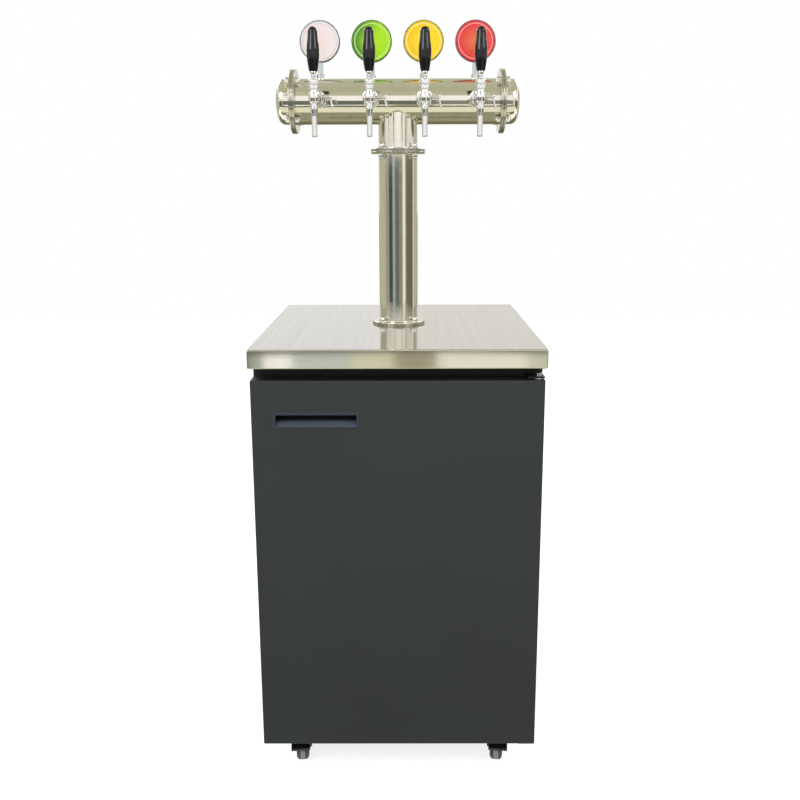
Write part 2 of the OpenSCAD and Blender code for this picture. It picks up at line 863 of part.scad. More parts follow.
// Shank, saddle ring, back nut and coupling nut of each tap
module shanks() {
    saddle_r = 18;
    saddle_out = 12;
    saddle_sink = 6;
    nut_w = 32;
    nut_t = 10;
    nut_back = bar_r - tube_wall - saddle_r + 4;
    bore_r = line_r - 1;
    spanner_hole_r = 2.2;
    spanner_hole_depth = 3;
    color("silver") for (x = taps) translate([x, tower_y, bar_z]) {
        difference() {
            bar_y(shank_r, -shank_out, -shank_in);
            bar_y(bore_r, -shank_out - eps, -shank_in + eps);
        }
        difference() {
            bar_y(saddle_r, -bar_r - saddle_out, -bar_r + saddle_sink);
            bar_y(shank_r + seat_gap, -bar_r - saddle_out - eps, 0);
            bar_x(bar_r + seat_gap, -saddle_r - eps, saddle_r + eps);
        }
        difference() {
            translate([0, -nut_back - nut_t, 0]) rotate([-90, 0, 0]) cylinder(d = nut_w, h = nut_t, $fn = 6);
            bar_y(shank_r + seat_gap, -nut_back - nut_t - eps, -nut_back + eps);
        }
        difference() {
            bar_y(coupling_d / 2, -coupling_front, -coupling_back);
            bar_y(shank_r + seat_gap, -coupling_front - eps, -coupling_back + eps);
            for (a = [30 : 60 : 330]) rotate([0, a, 0])
                translate([0, -(coupling_front + coupling_back) / 2, coupling_d / 2 - spanner_hole_depth])
                    cylinder(r = spanner_hole_r, h = spanner_hole_depth + eps);
        }
    }
}

// Beer line on the +X side, from a shank at x, in a row, down to its fitting
module beer_line(x, row) {
    color("white") translate([0, tower_y, bar_z]) {
        if (row - elbow_r > -shank_in) translate([x, 0, 0]) bar_y(line_r, -shank_in, row - elbow_r);
        translate([x - elbow_r, row - elbow_r, 0])
            rotate_extrude(angle = 90) translate([elbow_r, 0]) circle(r = line_r);
        translate([0, row, 0]) bar_x(line_r, drop_x + drop_r, x - elbow_r);
        translate([drop_x + drop_r, row, -drop_r]) rotate([90, 0, 0]) rotate([0, 0, 90])
            rotate_extrude(angle = 90) translate([drop_r, 0]) circle(r = line_r);
        translate([drop_x, row, line_foot - bar_z]) cylinder(r = line_r, h = bar_z - drop_r - line_foot);
    }
}

// Push-in fitting with a hose barb below
module line_fitting() {
    body_r = line_r + fitting_wall;
    body_h = 16;
    collar = 4;
    collar_w = 3;
    bore_r = line_r - 1.5;
    difference() {
        union() {
            cylinder(r = body_r, h = body_h);
            translate([0, 0, -collar]) cylinder(r = body_r + collar_w, h = collar);
            translate([0, 0, -collar - barb_len]) cylinder(r = barb_r, h = barb_len);
        }
        translate([0, 0, socket_z]) cylinder(r = line_r + seat_gap, h = body_h);
        translate([0, 0, -collar - barb_len - eps]) cylinder(r = bore_r, h = barb_len + 2 * collar);
    }
}

// Four beer lines inside the tower
module beer_lines() {
    for (side = [0, 1]) mirror([side, 0, 0]) {
        beer_line(taps[3], line_rows[0]);
        beer_line(taps[2], line_rows[1]);
    }
}

// Plate under the cabinet's ceiling with a push-in fitting for each beer line
module line_fittings() {
    plate_x = hole_r + 10;
    color("gray") for (side = [-1, 1], row = line_rows)
        translate([side * drop_x, tower_y + row, fitting_z - seat_gap]) line_fitting();
    color("white") difference() {
        slab(plate_x, tower_y - plate_x, tower_y + plate_x, fitting_z, cavity_z1);
        for (side = [-1, 1], row = line_rows) translate([side * drop_x, tower_y + row, fitting_z - eps])
            cylinder(r = line_r + fitting_wall + seat_gap, h = cavity_z1 - fitting_z + 2 * eps);
    }
}

// Tap body: tail, barrel, lever socket and the boss of the flow control
module tap_body() {
    tail = tap_reach - shank_out - 2 * seat_gap;
    boss_r = 6;
    neck_in = 2.5;
    throat_z = pivot_z + 2;
    difference() {
        union() {
            bar_y(tap_r, 0, tail);
            translate([0, 0, barrel_low]) cylinder(r = tap_r, h = neck_z - barrel_low);
            translate([0, 0, neck_z]) cylinder(r = tap_r - neck_in, h = collar_z0 - neck_z);
            translate([0, 0, collar_z0]) cylinder(r = tap_r, h = collar_z1 - collar_z0);
            translate([0, flow_y, 0]) bar_x(boss_r, 0, flow_boss_x);
        }
        translate([0, 0, pivot_z]) sphere(r = ball_r + running_gap);
        translate([0, 0, throat_z])
            cylinder(r1 = ball_r, r2 = socket_mouth_r, h = collar_z1 - throat_z);
        translate([0, 0, collar_z1 - seat_gap]) cylinder(r = socket_mouth_r, h = eps);
        translate([0, flow_y, 0]) bar_x(flow_shaft_r + running_gap, flow_shaft_x, flow_boss_x + eps);
    }
}

// Spout under the barrel: a wide neck and a slim outlet
module spout() {
    neck_r = 7.75;
    neck_len = 18;
    neck_low = barrel_low - neck_len;
    taper = 4;
    difference() {
        union() {
            translate([0, 0, neck_low]) cylinder(r = neck_r, h = barrel_low - seat_gap - neck_low);
            translate([0, 0, neck_low - taper]) cylinder(r1 = spout_d / 2, r2 = neck_r, h = taper);
            translate([0, 0, -spout_drop]) cylinder(d = spout_d, h = spout_drop + neck_low - taper);
        }
        translate([0, 0, -spout_drop - eps]) cylinder(d = outlet_d, h = spout_drop + neck_low + eps);
    }
}

// Four tap bodies with their spouts
module tap_bodies() {
    color("silver") for (i = [0 : 3]) at_tap(i) {
        tap_body();
        spout();
    }
}

// Tap lever: the ball in its socket, the stem and the ferrule under the handle
module tap_lever(i) {
    ferrule_r = handle_foot_d / 2 - 1.5;
    stem_top = handle_z + stem_in;
    color("silver") at_tap(i) {
        translate([0, 0, pivot_z]) sphere(r = ball_r);
        translate([0, 0, pivot_z]) cylinder(r = stem_r, h = stem_top - pivot_z);
        translate([0, 0, ferrule_z]) cylinder(r1 = stem_r, r2 = ferrule_r, h = handle_z - ferrule_z);
    }
}

// Radius of the handle at a share of its height: swelling to its belly, then tapering
belly = 0.5;
function handle_r(s) =
    s < belly
        ? (handle_foot_d + (handle_d - handle_foot_d) * sin(90 * s / belly)) / 2
        : (handle_top_d + (handle_d - handle_top_d) * (1 + cos(180 * (s - belly) / (1 - belly))) / 2) / 2;

// Turned black handle with a domed top
module tap_handle(i) {
    dome = handle_top_d / 2;
    body_len = handle_len - dome;
    steps = 12;
    side_points = [for (k = [0 : steps]) [handle_r(k / steps), k / steps * body_len]];
    dome_points = [for (a = [15 : 15 : 75]) [dome * cos(a), body_len + dome * sin(a)]];
    color("#141416") at_tap(i) translate([0, 0, handle_z]) difference() {
        rotate_extrude() polygon(concat([[0, 0]], side_points, dome_points, [[0, handle_len]]));
        translate([0, 0, -eps]) cylinder(r = stem_r + seat_gap, h = stem_in + eps + seat_gap);
    }
}

// Flow-control lever: a shaft in the boss, a grip along X and an arm that hangs down
module flow_lever(i) {
    grip_r = 4.6;
    grip_end = 30;
    arm_r = 2.2;
    tip_r = 2.8;
    arm_len = 21;
    arm_lean = 12;
    color("silver") at_tap(i) translate([0, flow_y, 0]) {
        bar_x(flow_shaft_r, flow_shaft_x + move_gap, flow_boss_x + eps);
        bar_x(grip_r, flow_boss_x + move_gap, grip_end);
        translate([grip_end, 0, 0]) sphere(r = grip_r);
        translate([grip_end, 0, 0]) rotate([0, 180 - arm_lean, 0]) {
            cylinder(r = arm_r, h = arm_len);
            translate([0, 0, arm_len]) sphere(r = tip_r);
        }
    }
}

// Saddle sockets on the cross bar for the medallion stems
stem_t = 6;
stem_lift = 2;
stem_foot = bar_r + stem_lift;
module medallion_holders() {
    holder_r = 9;
    holder_h = 10;
    holder_sink = 3;
    color("silver") for (x = taps) translate([x, tower_y, bar_z]) difference() {
        translate([0, 0, bar_r - holder_sink]) cylinder(r = holder_r, h = holder_h + holder_sink);
        bar_x(bar_r + seat_gap, -holder_r - eps, holder_r + eps);
        translate([-stem_w / 2 - seat_gap, -stem_t / 2 - seat_gap, stem_foot])
            cube([stem_w + 2 * seat_gap, stem_t + 2 * seat_gap, holder_h]);
    }
}

// Clear discs on stems, each with a shallow recess for its face
face_t = 2.2;
module medallion_bodies() {
    color("lightblue", 0.5) for (x = taps) translate([x, tower_y, bar_z]) difference() {
        union() {
            translate([0, 0, medallion_rise]) bar_y(medallion_d / 2, -medallion_t / 2, medallion_t / 2);
            block([-stem_w / 2, -stem_t / 2, stem_foot], [stem_w / 2, stem_t / 2, medallion_rise]);
        }
        translate([0, 0, medallion_rise])
            bar_y(face_d / 2 + seat_gap, -medallion_t / 2 - eps, -medallion_t / 2 + face_t + seat_gap);
    }
}

// Coloured face in a medallion's recess
face_colours = ["mistyrose", "limegreen", "gold", "tomato"];
module medallion_face(i) {
    color(face_colours[i]) translate([taps[i], tower_y, bar_z + medallion_rise])
        bar_y(face_d / 2, -medallion_t / 2 + seat_gap, -medallion_t / 2 + face_t + seat_gap);
}

// Places children on a castor's swivel axis at the floor, the wheel trailing towards -Y
module at_castor(i) {
    translate([castors[i][0], castors[i][1], 0]) rotate([0, 0, castors[i][2]]) children();
}

// Plate, ball race and headed kingpin of each castor
module castor_plates() {
    head_r = 8;
    head_h = 3.7;
    head_z = crown_z1 - crown_t - move_gap - head_h;
    color("silver") for (c = castors) translate([c[0], c[1], 0]) {
        translate([-castor_plate_w / 2, -castor_plate_w / 2, castor_h - plate_t])
            cube([castor_plate_w, castor_plate_w, plate_t]);
        translate([0, 0, crown_z1 + move_gap]) cylinder(r = 17, h = race_h);
        translate([0, 0, head_z]) cylinder(r = kingpin_r, h = castor_h - plate_t - head_z);
        translate([0, 0, head_z]) cylinder(r = head_r, h = head_h);
    }
}

// Extrudes an outline of trail and height between two sides
module side_profile(x0, x1) {
    translate([x1, 0, 0]) rotate([90, 0, -90]) linear_extrude(x1 - x0) children();
}

// Outline of a fork cheek, with an ear for the brake's pin if asked
module cheek_outline(braked) {
    back = 16;
    ear = braked ? pedal_t + 6 : trail + 9;
    polygon([
        [-back, crown_z1], [ear - 8, crown_z1], [ear, crown_z1 - 7], [ear, pedal_z - 5],
        [trail + 9, axle_z], [trail - 9, axle_z], [-back, crown_z1 - 12]
    ]);
    translate([trail, axle_z]) circle(r = 9);
}

// Fork with its crown, axle bolt and, on the front castors, the brake's pin
module castor_fork(i) {
    braked = i < 2;
    outside = fork_in + cheek_t;
    color("#2b2d30") at_castor(i) {
        difference() {
            union() {
                block([-outside, -trail - 2, crown_z1 - crown_t], [outside, 16, crown_z1]);
                side_profile(-outside, -fork_in) cheek_outline(braked);
                side_profile(fork_in, outside) cheek_outline(braked);
                translate([0, -trail, axle_z]) {
                    bar_x(axle_r, -outside, outside);
                    bar_x(6.5, -outside - 3, -outside);
                    bar_x(6.5, outside, outside + 3);
                }
                if (braked) translate([0, -pedal_t, pedal_z]) bar_x(pedal_pin_r, -outside, outside);
            }
            translate([0, 0, crown_z1 - crown_t - eps])
                cylinder(r = kingpin_r + running_gap, h = crown_t + 2 * eps);
        }
    }
}

// Wheel with a crowned tread, a sunk web and a hub
module castor_wheel(i) {
    half = wheel_w / 2;
    tread_in = wheel_d / 2 - 7.5;
    crown_r = 17;
    color("dimgray") at_castor(i) translate([0, -trail, axle_z]) rotate([0, 90, 0]) rotate_extrude() {
        intersection() {
            translate([tread_in, -half]) square([7.5, wheel_w]);
            translate([wheel_d / 2 - crown_r, 0]) circle(r = crown_r);
        }
        translate([axle_r + running_gap, -half + 1.5]) square([9, wheel_w - 3]);
        translate([axle_r + 5, -half + 5]) square([tread_in - axle_r - 4, wheel_w - 10]);
    }
}

// Brake pedal on a front castor
module castor_brake(i) {
    hub_w = fork_in - 0.5;
    pad_out = 10;
    pad_in = 3;
    pad_left = castors[i][0] < 0 ? pad_out : pad_in;
    pad_right = castors[i][0] < 0 ? pad_in : pad_out;
    color("#18181a") at_castor(i) difference() {
        union() {
            translate([0, -pedal_t, pedal_z]) bar_x(5, -hub_w, hub_w);
            side_profile(-hub_w, hub_w) translate([pedal_t, pedal_z])
                polygon([[0, 4.5], [10, 1], [14, -5], [0, -4.5]]);
            side_profile(-hub_w - pad_left, hub_w + pad_right) translate([pedal_t, pedal_z])
                polygon([[9, 1.5], [21, -3], [21, -8], [9, -4]]);
        }
        translate([0, -pedal_t, pedal_z]) bar_x(pedal_pin_r + running_gap, -hub_w - eps, hub_w + eps);
    }
}

base_pan();
case_panels();
insulated_liner();
face_frame();
keg_floor();
worktop();
worktop_core();
rear_grille();
compressor();
condenser();
condenser_fan();
evaporator_cover();
evaporator_coil();
evaporator_fan();
thermostat_knob();
mains_inlet();
hinge_brackets();
door_panel();
door_liner();
door_gasket();
finger_pull();
hinge_bushes();
tower_flanges();
tower_bolts();
column_tube();
tee_body();
end_caps();
shanks();
beer_lines();
line_fittings();
tap_bodies();
medallion_holders();
medallion_bodies();
castor_plates();
for (i = [0 : 3]) {
    medallion_face(i);
    tap_lever(i);
    tap_handle(i);
    flow_lever(i);
    castor_fork(i);
    castor_wheel(i);
}
for (i = [0 : 1]) castor_brake(i);
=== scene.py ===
"""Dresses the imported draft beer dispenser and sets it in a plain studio.

All lengths in the code are millimetres in the part's own frame: the floor is
z = 0, the door faces -Y and +X is to the right seen from the front.
"""

import json
import logging
import math
from dataclasses import dataclass, replace
from enum import Enum
from typing import Callable, Sequence

import bpy
from mathutils import Matrix, Vector


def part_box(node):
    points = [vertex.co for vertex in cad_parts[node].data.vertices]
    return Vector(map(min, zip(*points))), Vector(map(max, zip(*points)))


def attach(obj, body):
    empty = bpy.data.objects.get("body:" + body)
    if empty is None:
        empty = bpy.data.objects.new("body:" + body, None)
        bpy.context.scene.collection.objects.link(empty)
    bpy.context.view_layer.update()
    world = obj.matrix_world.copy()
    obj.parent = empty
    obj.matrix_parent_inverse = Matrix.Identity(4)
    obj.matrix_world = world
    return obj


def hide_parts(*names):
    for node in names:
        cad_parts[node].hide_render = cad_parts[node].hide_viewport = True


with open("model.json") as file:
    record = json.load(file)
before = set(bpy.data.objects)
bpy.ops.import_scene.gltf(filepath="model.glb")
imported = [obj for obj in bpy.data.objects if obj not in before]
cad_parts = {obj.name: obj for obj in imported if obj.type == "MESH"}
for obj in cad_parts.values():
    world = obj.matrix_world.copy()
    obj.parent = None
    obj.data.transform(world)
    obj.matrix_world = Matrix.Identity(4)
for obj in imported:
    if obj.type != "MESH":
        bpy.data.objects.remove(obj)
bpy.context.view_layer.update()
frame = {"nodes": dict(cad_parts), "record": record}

MM = 0.001
IMAGE_PX = 800
SENSOR_MM = 36.0
# The values between which a noise lies nearly everywhere.
NOISE_LOW, NOISE_HIGH = 0.3, 0.7
# The places that the tower, the taps and the signs share.
TOWER_Y = 22.0
BAR_Z = 1472.6
TAP_XS = (-172.5, -57.5, 57.5, 172.5)
# A face whose normal has this share along an axis faces that way, wholly or mostly.
FACING, MOSTLY = 0.9, 0.7
# Points closer than this, in metres, are at the same level.
NEAR = 1e-5
# Points closer than these, in metres, become one in a turned piece and in a CAD shape.
MERGE, CAD_MERGE = 1e-6, 2e-6
# CAD faces that meet at a smaller angle, in degrees, become one.
FLAT = 0.5
Point = tuple[float, float, float]
Profile = Sequence[tuple[float, float]]
Outline = list[tuple[float, float]]
Piece, Face = bpy.types.Object, bpy.types.MeshPolygon
Tree, Socket = bpy.types.NodeTree, bpy.types.NodeSocket

log = logging.getLogger("dispenser")
BEHAVIOUR = frame["record"]["behaviour"]
BODY_OF = {node: body for body, nodes in BEHAVIOUR["bodies"].items() for node in nodes}


class Axis(Enum):
    """Directions that a turned piece or a grain may follow."""

    X = 0
    Y = 1
    Z = 2

    def turn(self) -> Matrix:
        """Gives the rotation that takes +Z to this axis.

        Returns:
            The rotation.
        """
        if self is Axis.X:
            return Matrix.Rotation(math.pi / 2, 4, "Y")
        if self is Axis.Y:
            return Matrix.Rotation(-math.pi / 2, 4, "X")
        return Matrix.Identity(4)


class Solid(Enum):
    """Ways of putting two solids together."""

    UNITE = "UNION"
    CUT = "DIFFERENCE"


# Colours and nodes


def linear(hex_colour: str) -> tuple[float, float, float, float]:
    """Turns an sRGB hex colour into linear RGBA.

    Args:
        hex_colour: A colour such as "#3B3F3E".

    Returns:
        The four linear components.
    """
    parts = []
    for start in (1, 3, 5):
        level = int(hex_colour[start:start + 2], 16) / 255
        parts.append(level / 12.92 if level <= 0.04045 else ((level + 0.055) / 1.055) ** 2.4)
    return (*parts, 1.0)


def add_node(tree: Tree, kind: str, inputs: dict | None = None, **settings) -> bpy.types.Node:
    """Adds one node with its settings and links.

    Args:
        tree: The node tree to add to.
        kind: Blender's name of the node.
        inputs: Values or sockets for the node's inputs, by name or number.
        **settings: Properties of the node.

    Returns:
        The new node.
    """
    node = tree.nodes.new(kind)
    for key, value in settings.items():
        setattr(node, key, value)
    for key, value in (inputs or {}).items():
        if isinstance(value, Socket):
            tree.links.new(value, node.inputs[key])
        else:
            node.inputs[key].default_value = value
    return node


# Finishes


@dataclass(frozen=True)
class Finish:
    """A surface with a colour, a roughness and a fine unevenness.

    The unevenness is a noise of one real size that stirs the roughness, and
    a second, finer one that lifts the surface.
    """

    name: str
    colour: str
    roughness: float
    metallic: float = 0.0
    cloud_mm: float = 60.0
    cloud: float = 0.05
    tint: float = 0.04
    bump_mm: float = 3.0
    bump: float = 0.05
    specular: float = 0.5

    def material(self) -> bpy.types.Material:
        """Gives the finish's material, made on its first use.

        Returns:
            The material.
        """
        found = bpy.data.materials.get(self.name)
        if found:
            return found
        made = bpy.data.materials.new(self.name)
        made.use_nodes = True
        tree = made.node_tree
        shader = tree.nodes["Principled BSDF"]
        shader.inputs["Base Color"].default_value = linear(self.colour)
        shader.inputs["Roughness"].default_value = self.roughness
        shader.inputs["Metallic"].default_value = self.metallic
        shader.inputs["Specular IOR Level"].default_value = self.specular
        coords = add_node(tree, "ShaderNodeTexCoord").outputs["Object"]
        self.dress(tree, shader, coords)
        return made

    def dress(self, tree: Tree, shader: bpy.types.Node, coords: Socket) -> None:
        """Adds the pattern to the shader.

        Args:
            tree: The material's node tree.
            shader: Its principled shader.
            coords: Object coordinates, in metres.
        """
        cloud = add_node(tree, "ShaderNodeTexNoise",
                         {"Vector": coords, "Scale": 1 / (self.cloud_mm * MM), "Detail": 4})
        self.stir(tree, shader, cloud.outputs["Fac"])
        grit = add_node(tree, "ShaderNodeTexNoise",
                        {"Vector": coords, "Scale": 1 / (self.bump_mm * MM), "Detail": 2})
        self.lift(tree, shader, grit.outputs["Fac"])

    def stir(self, tree: Tree, shader: bpy.types.Node, pattern: Socket) -> None:
        """Lets a pattern vary the roughness and the colour a little.

        Args:
            tree: The material's node tree.
            shader: Its principled shader.
            pattern: A value from 0 to 1.
        """
        low, high = max(self.roughness - self.cloud, 0.01), self.roughness + self.cloud
        rough = add_node(tree, "ShaderNodeMapRange", {"Value": pattern, "From Min": NOISE_LOW,
                                                      "From Max": NOISE_HIGH, "To Min": low, "To Max": high})
        tree.links.new(rough.outputs["Result"], shader.inputs["Roughness"])
        base = linear(self.colour)
        ramp = add_node(tree, "ShaderNodeValToRGB", {"Fac": pattern})
        for stop, share in zip(ramp.color_ramp.elements, (1 - self.tint, 1 + self.tint)):
            stop.color = (*(min(c * share, 1) for c in base[:3]), 1)
        ramp.color_ramp.elements[0].position = NOISE_LOW
        ramp.color_ramp.elements[1].position = NOISE_HIGH
        tree.links.new(ramp.outputs["Color"], shader.inputs["Base Color"])

    def lift(self, tree: Tree, shader: bpy.types.Node, pattern: Socket) -> None:
        """Raises the surface by a pattern, to the depth in millimetres that the finish gives.

        Args:
            tree: The material's node tree.
            shader: Its principled shader.
            pattern: A value from 0 to 1.
        """
        bump = add_node(tree, "ShaderNodeBump",
                        {"Height": pattern, "Strength": 1.0, "Distance": self.bump * MM})
        tree.links.new(bump.outputs["Normal"], shader.inputs["Normal"])


@dataclass(frozen=True)
class Brushed(Finish):
    """Stainless sheet ground with a belt: long fine scratches along one axis."""

    grain: Axis = Axis.Y
    grain_mm: float = 1.1
    grain_length_mm: float = 160.0

    def dress(self, tree: Tree, shader: bpy.types.Node, coords: Socket) -> None:
        """Stretches the noise along the grain.

        Args:
            tree: The material's node tree.
            shader: Its principled shader.
            coords: Object coordinates, in metres.
        """
        scale = [1 / (self.grain_mm * MM)] * 3
        scale[self.grain.value] = 1 / (self.grain_length_mm * MM)
        along = add_node(tree, "ShaderNodeMapping", {"Vector": coords, "Scale": scale})
        streak = add_node(tree, "ShaderNodeTexNoise",
                          {"Vector": along.outputs["Vector"], "Scale": 1.0, "Detail": 5})
        self.stir(tree, shader, streak.outputs["Fac"])
        self.lift(tree, shader, streak.outputs["Fac"])


@dataclass(frozen=True)
class Spangled(Finish):
    """Hot-dip zinc: flat crystals that each shine a little differently."""

    crystal_mm: float = 9.0

    def dress(self, tree: Tree, shader: bpy.types.Node, coords: Socket) -> None:
        """Gives each crystal its own tone and roughness.

        Args:
            tree: The material's node tree.
            shader: Its principled shader.
            coords: Object coordinates, in metres.
        """
        cells = add_node(tree, "ShaderNodeTexVoronoi",
                         {"Vector": coords, "Scale": 1 / (self.crystal_mm * MM)})
        tone = add_node(tree, "ShaderNodeSeparateColor", {"Color": cells.outputs["Color"]})
        self.stir(tree, shader, tone.outputs["Red"])


@dataclass(frozen=True)
class ClearAcrylic(Finish):
    """Cast acrylic with polished edges: clear, with a faint haze of handling."""

    ior: float = 1.49

    def dress(self, tree: Tree, shader: bpy.types.Node, coords: Socket) -> None:
        """Makes the shader clear and lets a haze vary its roughness.

        Args:
            tree: The material's node tree.
            shader: Its principled shader.
            coords: Object coordinates, in metres.
        """
        shader.inputs["Transmission Weight"].default_value = 1.0
        shader.inputs["IOR"].default_value = self.ior
        haze = add_node(tree, "ShaderNodeTexNoise",
                        {"Vector": coords, "Scale": 1 / (self.cloud_mm * MM), "Detail": 3})
        rough = add_node(tree, "ShaderNodeMapRange", {"Value": haze.outputs["Fac"], "To Min": 0.0,
                                                      "To Max": 2 * self.roughness})
        tree.links.new(rough.outputs["Result"], shader.inputs["Roughness"])


@dataclass(frozen=True)
class PrintedFace(Finish):
    """Gloss print under a clear lacquer: one ring round the middle over a side-to-side blend.

    The core and the ring are given as shares of the radius, and the ring's
    stops also say how strong it is there.
    """

    centre: Point = (0, 0, 0)
    left: str = "#FFFFFF"
    right: str = "#FFFFFF"
    middle: str = "#FFFFFF"
    line: str = "#FFFFFF"
    radius: float = 39.5
    wander_mm: float = 14.0
    wander: float = 10.0
    core: tuple[float, float] = (0.2, 0.9)
    ring: Profile = ((0.855, 0), (0.87, 1), (0.9, 1), (0.915, 0))

    def dress(self, tree: Tree, shader: bpy.types.Node, coords: Socket) -> None:
        """Mixes the blend, the middle and the ring.

        Args:
            tree: The material's node tree.
            shader: Its principled shader.
            coords: Object coordinates, in metres.
        """
        place = [-c * MM for c in self.centre]
        radius = self.radius * MM
        local = add_node(tree, "ShaderNodeMapping", {"Vector": coords, "Location": place}).outputs["Vector"]
        across = add_node(tree, "ShaderNodeSeparateXYZ", {"Vector": local})
        side = add_node(tree, "ShaderNodeMapRange", {"Value": across.outputs["X"], "From Min": -0.5 * radius,
                                                     "From Max": 0.5 * radius})
        blend = add_node(tree, "ShaderNodeMix", {0: side.outputs["Result"], 6: linear(self.left),
                                                 7: linear(self.right)}, data_type="RGBA").outputs[2]
        flat = add_node(tree, "ShaderNodeVectorMath", {0: local, 1: (1, 0, 1)}, operation="MULTIPLY")
        far = add_node(tree, "ShaderNodeVectorMath", {0: flat.outputs["Vector"]},
                       operation="LENGTH").outputs["Value"]
        grain = add_node(tree, "ShaderNodeTexNoise", {"Vector": local, "Scale": 1 / (self.wander_mm * MM),
                                                      "Detail": 3})
        blurred = add_node(tree, "ShaderNodeMath", {0: grain.outputs["Fac"], 1: self.wander * MM, 2: far},
                           operation="MULTIPLY_ADD").outputs["Value"]
        core = add_node(tree, "ShaderNodeMapRange", {"Value": blurred, "From Min": self.core[0] * radius,
                                                     "From Max": self.core[1] * radius, "To Min": 1.0,
                                                     "To Max": 0.0})
        lit = add_node(tree, "ShaderNodeMix", {0: core.outputs["Result"], 6: blend, 7: linear(self.middle)},
                       data_type="RGBA").outputs[2]
        share = add_node(tree, "ShaderNodeMath", {0: far, 1: radius}, operation="DIVIDE")
        ring = add_node(tree, "ShaderNodeValToRGB", {"Fac": share.outputs["Value"]})
        stops = ring.color_ramp.elements
        for stop, at in zip(stops, (0.0, 1.0)):
            stop.position, stop.color = at, (0, 0, 0, 1)
        for at, level in self.ring:
            stops.new(at).color = (level, level, level, 1)
        drawn = add_node(tree, "ShaderNodeMix", {0: ring.outputs["Color"], 6: lit, 7: linear(self.line)},
                         data_type="RGBA").outputs[2]
        tree.links.new(drawn, shader.inputs["Base Color"])


# Powder coat: a baked polyester film, satin, with a faint orange peel.
# Its real peel of about 1 mm is drawn at 4 mm, because a finer one would not show.
CHARCOAL = Finish("powder_coat_charcoal", "#343837", 0.55, cloud_mm=180, cloud=0.03, tint=0.03, bump_mm=4,
                  bump=0.02, specular=0.2)
# The same film in black, on the frame, the tray and the grille.
BLACK_COAT = Finish("powder_coat_black", "#101112", 0.5, cloud_mm=90, cloud=0.05, bump_mm=4, bump=0.02)
# Ground stainless: warm grey metal that blurs reflections across the grain.
# The real scratch spacing of 0.1 mm is drawn at 1.1 mm to show, and the top's wider belt marks at 8 mm.
TOP_STEEL = Brushed("ground_stainless_top", "#D1CFC8", 0.11, 1.0, cloud=0.05, tint=0.075, bump=0.004,
                    grain_mm=8, grain_length_mm=500)
EDGE_STEEL = Brushed("ground_stainless_edge", "#D6D2C4", 0.08, 1.0, cloud=0.03, tint=0.03, bump=0.002,
                     grain=Axis.X)
# Polished stainless tube: a warm mirror with faint buffing clouds.
POLISHED = Finish("buffed_stainless", "#E0DCCE", 0.08, 1.0, cloud_mm=22, cloud=0.03, tint=0.03,
                  bump_mm=30, bump=0.02)
# The flanges' rims, left from the lathe: duller than the buffed faces, and painted darker, a painted
# reflection of dark surroundings.
TURNED_RIM_PAINTED_DARK = Finish("turned_stainless", "#A3A091", 0.24, 1.0, cloud_mm=4, cloud=0.06, tint=0.06,
                    bump_mm=0.5, bump=0.01)
# The end flanges, turned all over and wiped, but not buffed, and painted darker: a painted reflection of dark
# surroundings.
TURNED_FACE_PAINTED_DARK = Finish("turned_stainless_face", "#C2BFB1", 0.16, 1.0, cloud_mm=4, cloud=0.05, tint=0.05,
                     bump_mm=0.5, bump=0.01)
# Bright chrome plate: a cool mirror.
CHROME = Finish("bright_chrome", "#E3E3E1", 0.06, 1.0, cloud_mm=12, cloud=0.02, tint=0.02, bump_mm=12,
                bump=0.006)
# Bright zinc plate on pressed steel: grey, slightly cloudy.
ZINC = Finish("bright_zinc_plate", "#B4B6B8", 0.3, 1.0, cloud_mm=10, cloud=0.1, tint=0.08, bump_mm=3,
              bump=0.01)
# Hot-dip galvanised sheet: dull grey crystals, each with a tone of its own.
GALVANISED = Spangled("galvanised_sheet", "#A9ACAE", 0.36, 1.0, cloud=0.1, tint=0.14)
# Phenolic handle: moulded, then buffed to a deep gloss.
PHENOLIC = Finish("buffed_phenolic", "#0B0D10", 0.1, cloud_mm=15, cloud=0.04, bump_mm=9, bump=0.01,
                  specular=0.4)
# Moulded ABS: fine spark texture, satin.
PULL_ABS = Finish("moulded_abs_slate", "#353C42", 0.45, cloud_mm=6, cloud=0.06, bump_mm=0.6, bump=0.03,
                  specular=0.25)
# The same moulding painted lighter on its up-facing faces, the lip, the top edge and the pocket's floor:
# painted light from above.
PULL_PAINTED_LIGHT = Finish("abs_slate_painted_light", "#4E5462", 0.5, cloud_mm=9, cloud=0.06, tint=0.08, bump_mm=0.6,
                     bump=0.03, specular=0.3)
# The deep end of the pocket painted near black: painted shade in the recess.
PULL_PAINTED_SHADE = Finish("abs_black_painted_shade", "#05080D", 0.7, cloud_mm=9, cloud=0.04, specular=0.15)
# Vacuum-formed ABS of the liners: white, with a soft sheen.
WHITE_ABS = Finish("vacuum_formed_abs", "#E9EAE6", 0.36, cloud_mm=120, cloud=0.06, tint=0.02, bump_mm=2.5,
                   bump=0.03)
# Moulded nylon: dark, with a low and even gloss.
BLACK_NYLON = Finish("moulded_nylon_black", "#131416", 0.45, cloud_mm=18, cloud=0.06, bump_mm=1.0, bump=0.03)
# Natural nylon: milky, with a low gloss.
WHITE_NYLON = Finish("moulded_nylon_natural", "#E2E0D6", 0.4, cloud_mm=15, cloud=0.06, tint=0.03,
                     bump_mm=1.0, bump=0.02)
# Soft extruded PVC: matt black.
GASKET_PVC = Finish("soft_pvc", "#17181A", 0.62, cloud_mm=25, cloud=0.06, bump_mm=1.5, bump=0.03)
# Thermoplastic rubber: dark grey and matt, a little dusty.
TYRE = Finish("grey_thermoplastic_rubber", "#3F4041", 0.62, cloud_mm=8, cloud=0.08, tint=0.1, bump_mm=0.8,
              bump=0.06)
# The tread's crown painted pale: partly rubbed and dusty, partly a painted highlight along the rounded tread.
TREAD_WEAR_AND_HIGHLIGHT = Finish("worn_rubber_painted_highlight", "#A3A4A0", 0.75, cloud_mm=6, cloud=0.08, tint=0.16,
               bump_mm=0.8, bump=0.06)
